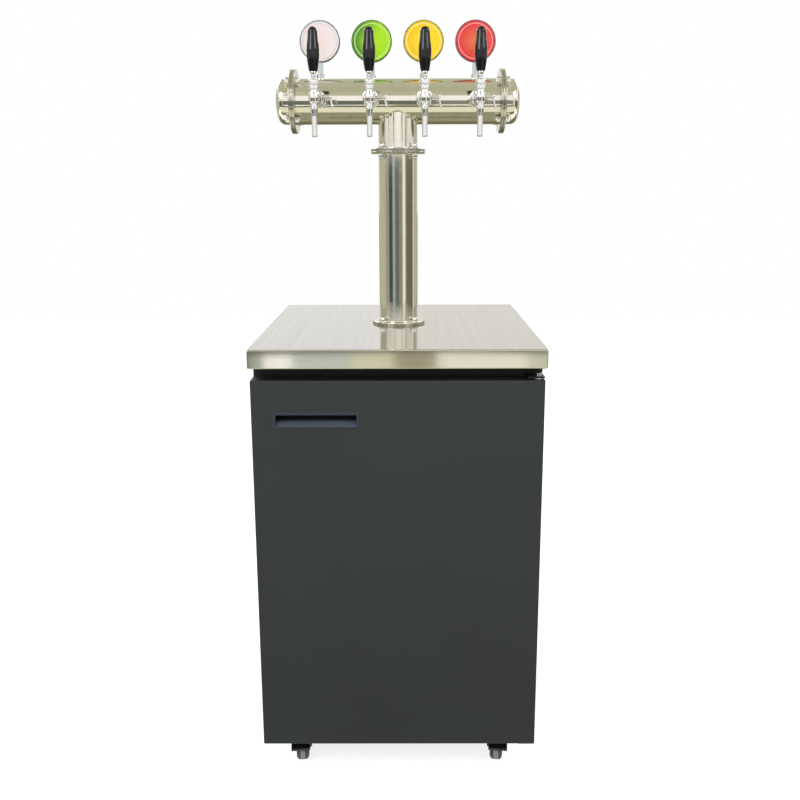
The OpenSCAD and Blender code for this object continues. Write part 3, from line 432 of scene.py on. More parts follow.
# Stoved lacquer on pressed steel: black, with a slight shine.
CASTOR_COAT = Finish("black_lacquer_on_steel", "#1B1D20", 0.36, cloud_mm=12, cloud=0.08, bump_mm=2, bump=0.02)
# Gloss enamel on the compressor: black, with soft highlights.
POT_ENAMEL = Finish("gloss_enamel_black", "#0E0F10", 0.22, cloud_mm=40, cloud=0.06, bump_mm=6, bump=0.04)
# Rolled aluminium of fins and pipes: pale and half dull.
FIN_METAL = Finish("rolled_aluminium", "#C9CBCC", 0.32, 1.0, cloud_mm=14, cloud=0.08, tint=0.06,
                   bump_mm=2, bump=0.01)
# Extruded polyethylene tube: milky white.
LINE_PE = Finish("extruded_polyethylene", "#DFE5E6", 0.38, cloud_mm=20, cloud=0.05, tint=0.02, bump_mm=3,
                 bump=0.01)
# Birch plywood: pale brown, with its grain along the width.
BOARD = Brushed("birch_plywood", "#C79C66", 0.7, cloud=0.08, tint=0.22, bump=0.05, grain=Axis.X, grain_mm=4)
# Cast acrylic: clear and faintly cool.
ACRYLIC = ClearAcrylic("cast_acrylic", "#CBD2D4", 0.015, cloud_mm=12)
# The signs' backs, sanded so that the print doesn't show through: pale and dull.
FROSTED = Finish("sanded_acrylic", "#D5DADB", 0.55, cloud_mm=14, cloud=0.05, tint=0.03, bump_mm=0.8,
                 bump=0.04)


# Modelling tools


def deselect() -> None:
    """Leaves edit mode and clears the selection."""
    if bpy.context.object and bpy.context.object.mode != "OBJECT":
        bpy.ops.object.mode_set(mode="OBJECT")
    bpy.ops.object.select_all(action="DESELECT")


def activate(piece: Piece) -> None:
    """Makes one piece the only selected and active object.

    Args:
        piece: The piece to select.
    """
    deselect()
    piece.select_set(True)
    bpy.context.view_layer.objects.active = piece


def edit(piece: Piece, select: str = "SELECT") -> None:
    """Opens a piece in edit mode with all of it selected, or none of it.

    Args:
        piece: The piece to edit.
        select: SELECT for all of it, DESELECT for none.
    """
    activate(piece)
    bpy.ops.object.mode_set(mode="EDIT")
    bpy.ops.mesh.select_mode(type="VERT")
    bpy.ops.mesh.select_all(action=select)


def select_faces(piece: Piece, wanted: Callable[[Face], bool]) -> None:
    """Opens a piece in edit mode with the wanted faces selected.

    Args:
        piece: The piece to edit.
        wanted: Tells whether a face is wanted, by its place or normal.
    """
    edit(piece, "DESELECT")
    bpy.ops.mesh.select_mode(type="FACE")
    bpy.ops.object.mode_set(mode="OBJECT")
    for face in piece.data.polygons:
        face.select = wanted(face)
    bpy.ops.object.mode_set(mode="EDIT")


def apply_modifier(piece: Piece, kind: str, **settings) -> None:
    """Adds a modifier to a piece and applies it.

    Args:
        piece: The piece to change.
        kind: Blender's name of the modifier.
        **settings: The modifier's properties.
    """
    activate(piece)
    modifier = piece.modifiers.new(kind.lower(), kind)
    for key, value in settings.items():
        setattr(modifier, key, value)
    bpy.ops.object.modifier_apply(modifier=modifier.name)


def round_edges(piece: Piece, width: float, segments: int = 2, angle: float = 35) -> None:
    """Rounds every edge sharper than an angle and shades the rest smooth.

    Args:
        piece: The piece to soften.
        width: The width of the rounding in millimetres.
        segments: How many strips the rounding has.
        angle: The smallest angle between faces that counts as an edge, in degrees.
    """
    apply_modifier(piece, "BEVEL", width=width * MM, segments=segments, limit_method="ANGLE",
                   angle_limit=math.radians(angle), use_clamp_overlap=True)
    smooth(piece)


def thicken(piece: Piece, sheet: float) -> None:
    """Gives a folded skin its thickness in millimetres, inwards."""
    apply_modifier(piece, "SOLIDIFY", thickness=sheet * MM, offset=-1)


def smooth(piece: Piece, angle: float = 32) -> None:
    """Shades a piece smooth across flat edges, and keeps flat faces flat.

    Args:
        piece: The piece to shade.
        angle: The largest angle that is shaded smooth, in degrees.
    """
    activate(piece)
    bpy.ops.object.shade_smooth_by_angle(angle=math.radians(angle))
    apply_modifier(piece, "WEIGHTED_NORMAL", keep_sharp=True)


def nudge(piece: Piece, wanted: Callable[[bpy.types.MeshVertex], bool], move: Point) -> None:
    """Moves the wanted points of a piece.

    Args:
        piece: The piece to edit.
        wanted: Tells whether a point is wanted.
        move: The move in metres.
    """
    edit(piece, "DESELECT")
    bpy.ops.object.mode_set(mode="OBJECT")
    for vertex in piece.data.vertices:
        vertex.select = wanted(vertex)
    bpy.ops.object.mode_set(mode="EDIT")
    bpy.ops.transform.translate(value=move)
    deselect()


def extrude(x: float, y: float, z: float) -> None:
    """Extrudes what is selected, by a move in millimetres."""
    bpy.ops.mesh.extrude_region_move(TRANSFORM_OT_translate={"value": (x * MM, y * MM, z * MM)})


def block(name: str, low: Point, high: Point) -> Piece:
    """Adds a box between two corners, ready to be shaped.

    Args:
        name: The piece's name.
        low: Its lowest corner in millimetres.
        high: Its highest corner in millimetres.

    Returns:
        The new object, at the origin with its place in its mesh.
    """
    deselect()
    middle = [(a + b) / 2 * MM for a, b in zip(low, high)]
    size = [(b - a) * MM for a, b in zip(low, high)]
    bpy.ops.mesh.primitive_cube_add(size=1, location=middle, scale=size)
    piece = bpy.context.object
    bpy.ops.object.transform_apply(location=True, rotation=True, scale=True)
    piece.name = name
    return piece


def turned(name: str, profile: Profile, at: Point = (0, 0, 0), axis: Axis = Axis.Z, steps: int = 96,
           spin: Matrix | None = None) -> Piece:
    """Turns a profile about an axis, as on a lathe.

    Args:
        name: The piece's name.
        profile: Pairs of radius and height in millimetres, from end to end.
        at: The point of the axis where the height is 0.
        axis: The direction of the height.
        steps: How many strips go round.
        spin: A further rotation, before the piece is put in its place.

    Returns:
        The new object, closed where the profile starts and ends on the axis.
    """
    deselect()
    bpy.ops.mesh.primitive_plane_add(size=MM)
    piece = bpy.context.object
    piece.name = name
    edit(piece)
    bpy.ops.mesh.merge(type="CENTER")
    bpy.ops.transform.translate(value=(profile[0][0] * MM, 0, profile[0][1] * MM))
    for (r0, h0), (r1, h1) in zip(profile, profile[1:]):
        extrude(r1 - r0, 0, h1 - h0)
    bpy.ops.mesh.select_all(action="SELECT")
    bpy.ops.mesh.spin(steps=steps, angle=math.tau, center=(0, 0, 0), axis=(0, 0, 1))
    bpy.ops.mesh.select_all(action="SELECT")
    bpy.ops.mesh.remove_doubles(threshold=MERGE)
    bpy.ops.mesh.normals_make_consistent(inside=False)
    deselect()
    turn = (spin or Matrix.Identity(4)) @ axis.turn()
    piece.data.transform(Matrix.Translation(Vector(at) * MM) @ turn)
    smooth(piece)
    return piece


def arc(centre: tuple[float, float], radius: float, start: float, end: float, steps: int = 6) -> Outline:
    """Lists the points of a rounded corner of a profile.

    Args:
        centre: The corner's centre as radius and height.
        radius: The corner's radius in millimetres.
        start: The first angle in degrees, 0 outwards and 90 upwards.
        end: The last angle.
        steps: How many strips the corner has.

    Returns:
        Pairs of radius and height.
    """
    angles = [math.radians(start + (end - start) * k / steps) for k in range(steps + 1)]
    return [(centre[0] + radius * math.cos(a), centre[1] + radius * math.sin(a)) for a in angles]


def disc_profile(radius: float, low: float, high: float, edge: float) -> Outline:
    """Gives the profile of a drum with rounded edges."""
    return [(0, low), *arc((radius - edge, low + edge), edge, -90, 0, 4),
            *arc((radius - edge, high - edge), edge, 0, 90, 4), (0, high)]


def ring_profile(inner: float, outer: float, low: float, high: float, edge: float) -> Outline:
    """Gives the closed profile of a ring with rounded outer edges."""
    return [(inner, low), *arc((outer - edge, low + edge), edge, -90, 0, 4),
            *arc((outer - edge, high - edge), edge, 0, 90, 4), (inner, high), (inner, low)]


def copied(piece: Piece, name: str, move: Matrix) -> Piece:
    """Copies a piece with a mesh of its own.

    Args:
        piece: The piece to copy.
        name: The copy's name.
        move: Where the copy goes, in metres.

    Returns:
        The copy.
    """
    twin = bpy.data.objects.new(name, piece.data.copy())
    bpy.context.scene.collection.objects.link(twin)
    twin.data.transform(move)
    return twin


def shift(x: float, y: float, z: float) -> Matrix:
    """Returns a move in millimetres."""
    return Matrix.Translation((x * MM, y * MM, z * MM))


def joined(name: str, pieces: Sequence[Piece]) -> Piece:
    """Joins pieces into one object with several shells.

    Args:
        name: The joined object's name.
        pieces: The objects to join; the first one keeps its materials in front.

    Returns:
        The joined object.
    """
    deselect()
    for piece in pieces:
        piece.select_set(True)
    bpy.context.view_layer.objects.active = pieces[0]
    bpy.ops.object.join()
    pieces[0].name = name
    return pieces[0]


def spread(piece: Piece, name: str, places: Sequence[Matrix]) -> Piece:
    """Copies a piece to several places, joins the copies and removes the first one.

    Args:
        piece: The piece to copy.
        name: The joined object's name.
        places: Where the copies go, in metres.

    Returns:
        The joined object.
    """
    copies = [copied(piece, "copy", place) for place in places]
    bpy.data.objects.remove(piece)
    return joined(name, copies)


def combined(piece: Piece, other: Piece, how: Solid = Solid.UNITE) -> Piece:
    """Unites a piece with another, or cuts the other out of it, and removes the other.

    Args:
        piece: The piece that stays.
        other: The piece that is used up.
        how: Whether they are united or the other is cut out.

    Returns:
        The changed piece.
    """
    apply_modifier(piece, "BOOLEAN", object=other, operation=how.value, solver="EXACT")
    bpy.data.objects.remove(other)
    return piece


def softened(node: str, name: str, width: float, segments: int = 2, angle: float = 40) -> Piece:
    """Models a piece on a CAD node's own shape, with rounded edges.

    Args:
        node: The node whose shape is right but sharp.
        name: The new piece's name.
        width: The width of the rounding in millimetres, or 0 for smooth shading alone.
        segments: How many strips the rounding has.
        angle: The smallest angle that counts as an edge, in degrees.

    Returns:
        The new piece.
    """
    deselect()
    piece = copied(frame["nodes"][node], name, Matrix.Identity(4))
    piece.data.materials.clear()
    edit(piece)
    bpy.ops.mesh.customdata_custom_splitnormals_clear()
    bpy.ops.mesh.remove_doubles(threshold=CAD_MERGE)
    bpy.ops.mesh.dissolve_limited(angle_limit=math.radians(FLAT))
    deselect()
    if width:
        round_edges(piece, width, segments, angle)
    else:
        smooth(piece, angle)
    return piece


def paint(piece: Piece, *finishes: Finish) -> None:
    """Gives a piece its finishes in the order of its material slots."""
    piece.data.materials.clear()
    for finish in finishes:
        piece.data.materials.append(finish.material())


def divide(piece: Piece, rule: Callable[[Face], int], *finishes: Finish) -> None:
    """Gives a piece several finishes, and each face the one that a rule picks.

    Args:
        piece: The piece to finish.
        rule: Gives a face's number among the finishes, counted from 0.
        *finishes: The finishes.
    """
    paint(piece, *finishes)
    for face in piece.data.polygons:
        face.material_index = int(rule(face))


def stands_for(piece: Piece, finish: Finish, *nodes: str) -> Piece:
    """Finishes a piece and lets it stand for CAD nodes.

    Args:
        piece: The finished shape.
        finish: Its finish.
        *nodes: The nodes that it hides, all on one body.

    Returns:
        The piece.
    """
    if len(piece.data.materials) < 2:
        paint(piece, finish)
    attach(piece, BODY_OF[nodes[0]])
    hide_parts(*nodes)
    log.info("%s stands for %s", piece.name, ", ".join(nodes))
    return piece


def goes_with(piece: Piece, finish: Finish, node: str) -> Piece:
    """Finishes a small extra piece and lets it ride with a CAD node's body.

    Args:
        piece: The finished shape.
        finish: Its finish.
        node: A node on the body that carries it.

    Returns:
        The piece.
    """
    paint(piece, finish)
    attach(piece, BODY_OF[node])
    log.info("%s goes with %s", piece.name, node)
    return piece


def dressed(finish: Finish, *nodes: str) -> None:
    """Gives CAD nodes whose shape is right a better finish."""
    for node in nodes:
        for slot in frame["nodes"][node].material_slots:
            slot.material = finish.material()
        log.info("%s keeps its shape", node)


def corners(node: str) -> tuple[Point, Point]:
    """Returns a CAD node's lowest and highest corner in millimetres."""
    low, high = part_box(node)
    return tuple(low / MM), tuple(high / MM)


def joint_of(name: str) -> tuple[Point, Vector]:
    """Returns the place in millimetres and the axis of a joint in the record."""
    joint = next(j for j in BEHAVIOUR["joints"] if j["name"] == name)
    return tuple(c / MM for c in joint["pos_m"]), Vector(joint["axis"])


def screw_head(name: str, radius: float, rise: float) -> Piece:
    """Models a pan-head screw with a cross recess, standing on z = 0.

    Args:
        name: The piece's name.
        radius: The head's radius in millimetres.
        rise: The head's height.

    Returns:
        The new object.
    """
    head = turned(name, [(0, 0), (radius, 0), *arc((radius - rise, 0), rise, 0, 80, 5), (0, rise)], steps=24)
    # The recess's half width, half length and depth are shares of the head.
    slot, reach, deep = radius * 0.16, radius * 0.62, rise * 0.5
    for long, short in ((reach, slot), (slot, reach)):
        cutter = block("cutter", (-long, -short, rise - deep), (long, short, rise + 1))
        combined(head, cutter, Solid.CUT)
    return head


# Sub-assemblies


@dataclass(frozen=True)
class Soft:
    """A CAD node whose shape only needs rounded edges, of a width in millimetres, and a finish."""

    node: str
    name: str
    width: float
    finish: Finish
    segments: int = 2

    def build(self) -> None:
        """Makes the piece that stands for the node."""
        stands_for(softened(self.node, self.name, self.width, self.segments), self.finish, self.node)


@dataclass
class Worktop:
    """Stainless sheet folded over a board."""

    sheet: float = 1.5
    lip: float = 18.0
    fold: float = 3.0

    def build(self) -> None:
        """Folds the sheet down all round and in under the board."""
        top = block("worktop_sheet", *corners("worktop"))
        select_faces(top, lambda face: face.normal.z < -FACING)
        bpy.ops.mesh.inset(thickness=self.lip * MM)
        bpy.ops.mesh.delete(type="FACE")
        round_edges(top, self.fold, 4)
        thicken(top, self.sheet)
        smooth(top)
        self.dress(top)

    def dress(self, top: Piece) -> None:
        """Grinds the top from front to back, and the front and back edges along their length.

        Args:
            top: The folded sheet.
        """
        divide(top, lambda face: abs(face.normal.y) > MOSTLY, TOP_STEEL, EDGE_STEEL)
        stands_for(top, TOP_STEEL, "worktop")
        dressed(BOARD, "worktop_core")


@dataclass
class Cabinet:
    """Painted case with its white liner, frame, floor and hinge plates."""

    skin: float = 1.2
    corner: float = 2.5
    window_rim: float = 12.0
    window_deep: float = 20.0
    screw: float = 4.2
    screw_rise: float = 2.0
    screw_inset: float = 6.0
    screws_across: int = 5
    pin: Point = (1.2, 0.8, 1.7)
    pin_places: Profile = ((-6, -1.2), (0, 1.2), (6, -1.2))
    pin_root: float = 0.6
    hinge_pin_r: float = 4.2
    hinge_top: float = 911.6
    hinge_nut: Profile = ((0, 0), (8, 0), (8, 6), (6.6, 7.2), (0, 7.2))
    hinge_round: float = 0.7
    nut_round: float = 0.4
    pin_round: float = 0.3
    linings: tuple[Soft, ...] = (
        Soft("base_pan", "base_tray", 0.5, BLACK_COAT),
        Soft("face_frame", "front_frame", 1.0, BLACK_COAT),
        Soft("insulated_liner", "inner_liner", 5.0, WHITE_ABS, 4),
        Soft("keg_floor", "keg_floor_plate", 1.2, GALVANISED))
    grille: Soft = Soft("rear_grille", "machine_grille", 0.6, BLACK_COAT)
    shell: Soft = Soft("mains_inlet", "inlet_shell", 0.5, BLACK_NYLON)

    def build(self) -> None:
        """Makes the case, its linings and its fastenings."""
        self.case()
        for lining in self.linings:
            lining.build()
        self.hinges()
        self.grille.build()
        self.rear_screws()
        self.inlet()

    def case(self) -> None:
        """Folds the case from one sheet, open at the front, the foot and the machine space."""
        case = block("case_skin", *corners("case_panels"))
        select_faces(case, lambda face: face.normal.z < -FACING or face.normal.y < -FACING)
        bpy.ops.mesh.delete(type="FACE")
        round_edges(case, self.corner, 3)
        thicken(case, self.skin)
        low, high = corners("rear_grille")
        rim = self.window_rim
        window = block("cutter", (low[0] + rim, low[1] - self.window_deep, low[2] - rim),
                       (high[0] - rim, high[1], high[2] - rim))
        combined(case, window, Solid.CUT)
        smooth(case)
        stands_for(case, CHARCOAL, "case_panels")

    def hinges(self) -> None:
        """Coats the hinge plates black, leaves their pins bright and puts a nut over the upper pin."""
        x, y, _ = joint_of("door_hinge")[0]
        plates = softened("hinge_brackets", "hinge_plates", self.hinge_round)
        pin = Vector((x, y)) * MM
        divide(plates, lambda face: (face.center.xy - pin).length < self.hinge_pin_r * MM, BLACK_COAT, ZINC)
        stands_for(plates, BLACK_COAT, "hinge_brackets")
        nut = turned("hinge_nut", self.hinge_nut, (x, y, self.hinge_top), steps=6)
        round_edges(nut, self.nut_round)
        goes_with(nut, ZINC, "hinge_brackets")

    def rear_screws(self) -> None:
        """Puts a row of pan-head screws round the edge of the machine grille."""
        low, high = corners("rear_grille")
        inset, count = self.screw_inset, self.screws_across
        run = high[0] - low[0] - 2 * inset
        across = [low[0] + inset + run * k / (count - 1) for k in range(count)]
        places = [shift(x, high[1], z) for x in across for z in (low[2] + inset, high[2] - inset)]
        head = screw_head("screw", self.screw, self.screw_rise)
        head.data.transform(Axis.Y.turn())
        goes_with(spread(head, "grille_screws", places), ZINC, "rear_grille")

    def inlet(self) -> None:
        """Makes the mains inlet with its three flat pins."""
        self.shell.build()
        low, high = corners("mains_inlet")
        floor = low[1] + self.pin_root
        half_w, half_h, out = self.pin
        pins = []
        for dx, dz in self.pin_places:
            x, z = (low[0] + high[0]) / 2 + dx, (low[2] + high[2]) / 2 + dz
            pin = block("inlet_pins", (x - half_w, floor, z - half_h), (x + half_w, floor + out, z + half_h))
            round_edges(pin, self.pin_round)
            pins.append(pin)
        goes_with(joined("inlet_pins", pins), CHROME, "mains_inlet")


@dataclass
class Door:
    """Painted door pan with its liner, gasket, finger pull and hinge bushes."""

    skin: float = 1.2
    corner: float = 2.2
    window_in: float = 2.0
    fit: float = 0.1
    rim: float = 6.0
    rim_low: float = 3.5
    mouth_in: float = 8.0
    proud: float = 1.0
    pocket: float = 20.5
    slope: float = 9.0
    overhang: float = 1.5
    painted_shade_from: float = 2.5
    painted_shade_in: float = 3.0
    painted_light_lean: float = 0.3
    pull_round: float = 0.9
    covered: float = 1.7
    liner_round: float = 1.6
    seal: Soft = Soft("door_gasket", "door_seal", 1.6, GASKET_PVC, 3)
    sleeves: Soft = Soft("hinge_bushes", "hinge_sleeves", 0.5, WHITE_NYLON)

    def build(self) -> None:
        """Makes the door's pieces."""
        self.panel()
        self.pull()
        self.inner()
        self.seal.build()
        self.sleeves.build()

    def panel(self) -> None:
        """Folds the door pan and cuts the window for the pull."""
        panel = block("door_skin", *corners("door_panel"))
        low, high = corners("finger_pull")
        x0, x1 = (low[0] + self.window_in) * MM, (high[0] - self.window_in) * MM
        z0, z1 = (low[2] + self.window_in) * MM, (high[2] - self.window_in) * MM
        planes = [((x, 0, 0), (1, 0, 0)) for x in (x0, x1)] + [((0, 0, z), (0, 0, 1)) for z in (z0, z1)]
        for at, way in planes:
            select_faces(panel, lambda face: face.normal.y < -FACING)
            bpy.ops.mesh.bisect(plane_co=at, plane_no=way)
        select_faces(panel, lambda face: face.normal.y > FACING or (
            face.normal.y < -FACING and x0 < face.center.x < x1 and z0 < face.center.z < z1))
        bpy.ops.mesh.delete(type="FACE")
        round_edges(panel, self.corner, 4)
        thicken(panel, self.skin)
        smooth(panel)
        # The top and bottom faces are painted black: partly black end caps, partly painted shade under the
        # worktop's overhang.
        divide(panel, lambda face: abs(face.normal.z) > MOSTLY, CHARCOAL, BLACK_NYLON)
        stands_for(panel, CHARCOAL, "door_panel")

    def inner(self) -> None:
        """Moulds the white inner door, its rim covered by the dark seal's base."""
        inner = softened("door_liner", "door_inner", self.liner_round, 3)
        low, high = corners("door_liner")

        def under_seal(face: Face) -> bool:
            """Tells whether the seal's base covers a face."""
            x, z = face.center.x / MM, face.center.z / MM
            return min(x - low[0], high[0] - x, z - low[2], high[2] - z) < self.covered

        divide(inner, under_seal, WHITE_ABS, GASKET_PVC)
        stands_for(inner, WHITE_ABS, "door_liner")

    def pull(self) -> None:
        """Moulds the finger pull: a thin rim, a body behind it and a pocket with a sloping floor."""
        low, high = corners("finger_pull")
        front, back = low[1], high[1]
        pull = block("finger_pull_moulding", low, (high[0], front + self.proud, high[2]))
        select_faces(pull, lambda face: face.normal.y > FACING)
        bpy.ops.mesh.inset(thickness=(self.window_in + self.fit) * MM)
        extrude(0, back - front - self.proud, 0)
        select_faces(pull, lambda face: face.normal.y < -FACING)
        bpy.ops.mesh.inset(thickness=self.rim * MM)
        mouth_low = (low[2] + self.rim) * MM
        nudge(pull, lambda v: abs(v.co.z - mouth_low) < NEAR and v.co.y < (front + self.proud / 2) * MM,
              (0, 0, (self.rim_low - self.rim) * MM))
        middle = (low[0] + high[0]) / 2 * MM
        select_faces(pull, lambda face: face.normal.y < -FACING and abs(face.center.x - middle) < 10 * NEAR
                     and low[2] + self.mouth_in < face.center.z / MM < high[2] - self.mouth_in)
        extrude(0, self.pocket + self.proud, 0)
        floor, roof = (low[2] + self.rim_low) * MM, (high[2] - self.rim) * MM
        deep = (front + self.pocket) * MM
        for level, rise in ((floor, self.slope), (roof, self.overhang)):
            nudge(pull, lambda v: abs(v.co.z - level) < NEAR and v.co.y > deep, (0, 0, rise * MM))
        round_edges(pull, self.pull_round, 3)
        self.dress_pull(pull, low, high)

    def dress_pull(self, pull: Piece, low: Point, high: Point) -> None:
        """Paints the up-facing faces lighter, as painted light, and the pocket's depth dark, as painted
        shade.

        Args:
            pull: The moulding.
            low: Its lowest corner in millimetres.
            high: Its highest corner.
        """
        def painted_tone(face: Face) -> int:
            """Tells which painted tone a face gets.

            Args:
                face: A face of the moulding.

            Returns:
                1 for an up-facing face painted light, 2 for a deep one painted shade and 0 for the rest.
            """
            x, y = face.center.x / MM, face.center.y / MM - low[1]
            # Up-facing faces get painted light; faces deep in the pocket get painted shade.
            if face.normal.z > self.painted_light_lean and y < self.pocket - 1:
                return 1
            return 2 if low[0] + self.painted_shade_in < x < high[0] - self.painted_shade_in and y > self.painted_shade_from else 0

        divide(pull, painted_tone, PULL_ABS, PULL_PAINTED_LIGHT, PULL_PAINTED_SHADE)
        stands_for(pull, PULL_ABS, "finger_pull")


@dataclass
class Tower:
    """Polished T of flanged tubes: foot, column, joint, cross bar and end caps."""

    y: float = TOWER_Y
    column_r: float = 44.45
    column_in: float = 42.45
    column_z: tuple[float, float] = (976.0, 1357.0)
    weld: float = 2.0
    flange_t: float = 6.0
    gap: float = 0.1
    flange_r: float = 61.5
    flange_hole: float = 39.45
    bolt_circle: float = 52.975
    bar_z: float = BAR_Z
    bar_r: float = 50.0
    bar_half: float = 225.9
    end_r: float = 70.0
    end_hole: float = 43.0
    end_circle: float = 60.0
    cap_len: float = 31.5
    cap_round: float = 18.0
    cap_wall: float = 2.0
    flange_edge: float = 1.2
    rim_deep: float = 2.0
    rim_lean: float = 0.5
    bead_r: float = 1.1
    nut_af: float = 12.0
    nut_h: float = 7.0
    washer_share: float = 0.6
    washer_t: float = 1.0
    washer_edge: float = 0.3
    nut_round: float = 0.7
    bolts: int = 4
    dome_in: float = 2.0
    dome_top: float = 12.0
    dome_r: float = 5.5
    steps: int = 160

    def __post_init__(self) -> None:
        """Works out the levels of the joint under the cross bar."""
        self.foot_z = self.column_z[0] - self.flange_t
        self.joint_top = self.column_z[1] + 2 * self.flange_t + self.gap
        self.end_out = self.bar_half + 2 * self.flange_t + self.gap

    def build(self) -> None:
        """Makes the tubes, flanges, caps and nuts."""
        self.column()
        self.tee()
        self.flanges()
        self.caps()
        self.nuts()

    def column(self) -> None:
        """Turns the column with a small weld fillet at each end."""
        low, high = self.column_z
        wide, inner = self.column_r + self.weld, self.column_in
        lower = arc((wide, low + self.weld), self.weld, -90, -180, 5)
        upper = arc((wide, high - self.weld), self.weld, 180, 90, 5)
        profile = [(inner, low), *lower, *upper, (inner, high), (inner, low)]
        column = turned("column_polished", profile, (0, self.y, 0), steps=self.steps)
        stands_for(column, POLISHED, "column_tube")

    def tee(self) -> None:
        """Joins the cross bar and its stub, and lays a ground weld in the corner between them."""
        at, half = (0, self.y, self.bar_z), self.bar_half
        runs, rises = 24, 8
        along = [(self.bar_r, -half + 2 * half * k / runs) for k in range(runs + 1)]
        bar = turned("tee_polished", [(0, -half), *along, (0, half)], at, Axis.X, self.steps)
        drop = self.joint_top - self.bar_z
        fillet = arc((self.column_r + self.weld, drop + self.weld), self.weld, -90, -180, 5)
        wall = [(self.column_r, drop * (1 - k / rises)) for k in range(1, rises)]
        profile = [(0, drop), *fillet, *wall, (self.column_r, 0), (0, 0)]
        tee = combined(bar, turned("stub", profile, at, steps=self.steps))
        smooth(tee)
        stands_for(tee, POLISHED, "tee_body")
        self.weld_bead()

    def weld_bead(self) -> None:
        """Lays the bead along the saddle curve where the stub meets the bar."""
        points = 128
        curve = bpy.data.curves.new("tee_weld", "CURVE")
        curve.dimensions = "3D"
        curve.bevel_depth = self.bead_r * MM
        curve.bevel_resolution = 3
        path = curve.splines.new("POLY")
        path.points.add(points - 1)
        path.use_cyclic_u = True
        for k, point in enumerate(path.points):
            turn = math.tau * k / points
            x, y = self.column_r * math.cos(turn), self.column_r * math.sin(turn)
            z = self.bar_z - math.sqrt(self.bar_r ** 2 - y ** 2)
            point.co = (x * MM, (self.y + y) * MM, z * MM, 1)
        bead = bpy.data.objects.new("tee_weld", curve)
        bpy.context.scene.collection.objects.link(bead)
        activate(bead)
        bpy.ops.object.convert(target="MESH")
        bead = bpy.context.object
        smooth(bead, 60)
        goes_with(bead, POLISHED, "tee_body")

    def flanges(self) -> None:
        """Turns the seven flange rings."""
        t, step = self.flange_t, self.flange_t + self.gap
        rings = []
        for z in (self.foot_z, self.column_z[1], self.column_z[1] + step):
            rings.append(self.ring(self.flange_hole, self.flange_r, (0, self.y, z), Axis.Z))
        for x in (self.bar_half, self.bar_half + step, -self.bar_half - t, -self.bar_half - step - t):
            rings.append(self.ring(self.end_hole, self.end_r, (x, self.y, self.bar_z), Axis.X))
        stands_for(joined("flanges_polished", rings), POLISHED, "tower_flanges")

    def ring(self, hole: float, radius: float, place: Point, axis: Axis) -> Piece:
        """Turns one flange ring; on the column its rim is duller than its faces and painted darker, and an
        end ring is painted darker all over, both painted reflections.

        Args:
            hole: The radius of its hole.
            radius: The radius of its rim.
            place: The middle of its lower face.
            axis: The axis it is turned about.

        Returns:
            The ring.
        """
        profile = ring_profile(hole, radius, 0, self.flange_t, self.flange_edge)
        ring = turned("flange", profile, place, axis, self.steps)
        if axis is Axis.X:
            # End rings are painted darker all over: a painted reflection.
            paint(ring, TURNED_FACE_PAINTED_DARK)
            return ring

        def on_rim(face: Face) -> bool:
            """Tells whether a face is on the ring's rim.

            Args:
                face: A face of the ring.

            Returns:
                Whether it is.
            """
            away = face.center - Vector(place) * MM
            away[axis.value] = 0
            outside = away.length > (radius - self.rim_deep) * MM
            return outside and abs(face.normal[axis.value]) < self.rim_lean

        # The column rings' rims are painted darker: a painted reflection.
        divide(ring, on_rim, POLISHED, TURNED_RIM_PAINTED_DARK)
        return ring

    def caps(self) -> None:
        """Turns the two dished end caps."""
        r, end, bend = self.bar_r, self.cap_len, self.cap_round
        inner, floor = r - self.cap_wall, end - self.cap_wall
        dish = arc((r - bend, end - bend), bend, 0, 90, 14)
        shape = [(inner, 0), (r, 0), *dish, (0, end), (0, floor), (inner - bend, floor), (inner, end - bend),
                 (inner, 0)]
        pair = []
        for side in (1, -1):
            profile = [(r, side * h) for r, h in shape]
            pair.append(turned("cap", profile, (side * self.end_out, self.y, self.bar_z), Axis.X, self.steps))
        stands_for(joined("end_caps_polished", pair), POLISHED, "end_caps")

    def nut(self) -> Piece:
        """Models one domed cap nut on its washer, standing on z = 0.

        Returns:
            The nut.
        """
        flat = disc_profile(self.nut_af * self.washer_share, 0, self.washer_t, self.washer_edge)
        washer = turned("nut", flat, steps=32)
        deselect()
        hex_r = self.nut_af / math.sqrt(3)
        bpy.ops.mesh.primitive_cylinder_add(vertices=6, radius=hex_r * MM, depth=self.nut_h * MM,
                                            location=(0, 0, (self.nut_h + self.washer_t) / 2 * MM))
        body = bpy.context.object
        bpy.ops.object.transform_apply(location=True, rotation=True, scale=True)
        round_edges(body, self.nut_round)
        root, r = self.nut_h - self.dome_in, self.dome_r
        dome = turned("dome", [(0, root), (r, root), *arc((0, self.dome_top - r), r, 0, 90, 8)], steps=32)
        return joined("nut", [washer, body, dome])

    def nuts(self) -> None:
        """Puts the cap nuts on every flange."""
        nut = self.nut()
        flip = Matrix.Rotation(math.pi, 4, "X")
        places = []
        for k in range(self.bolts):
            turn = math.radians(360 * (k + 0.5) / self.bolts)
            c, s = math.cos(turn), math.sin(turn)
            x, y = self.bolt_circle * c, self.y + self.bolt_circle * s
            places += [shift(x, y, self.column_z[0]), shift(x, y, self.joint_top),
                       shift(x, y, self.column_z[1]) @ flip]
            y, z = self.y + self.end_circle * c, self.bar_z + self.end_circle * s
            for side in (1, -1):
                out = Matrix.Rotation(side * math.pi / 2, 4, "Y")
                places += [shift(side * self.end_out, y, z) @ out,
                           shift(side * self.bar_half, y, z) @ out @ flip]
        stands_for(spread(nut, "cap_nuts", places), CHROME, "tower_bolts")


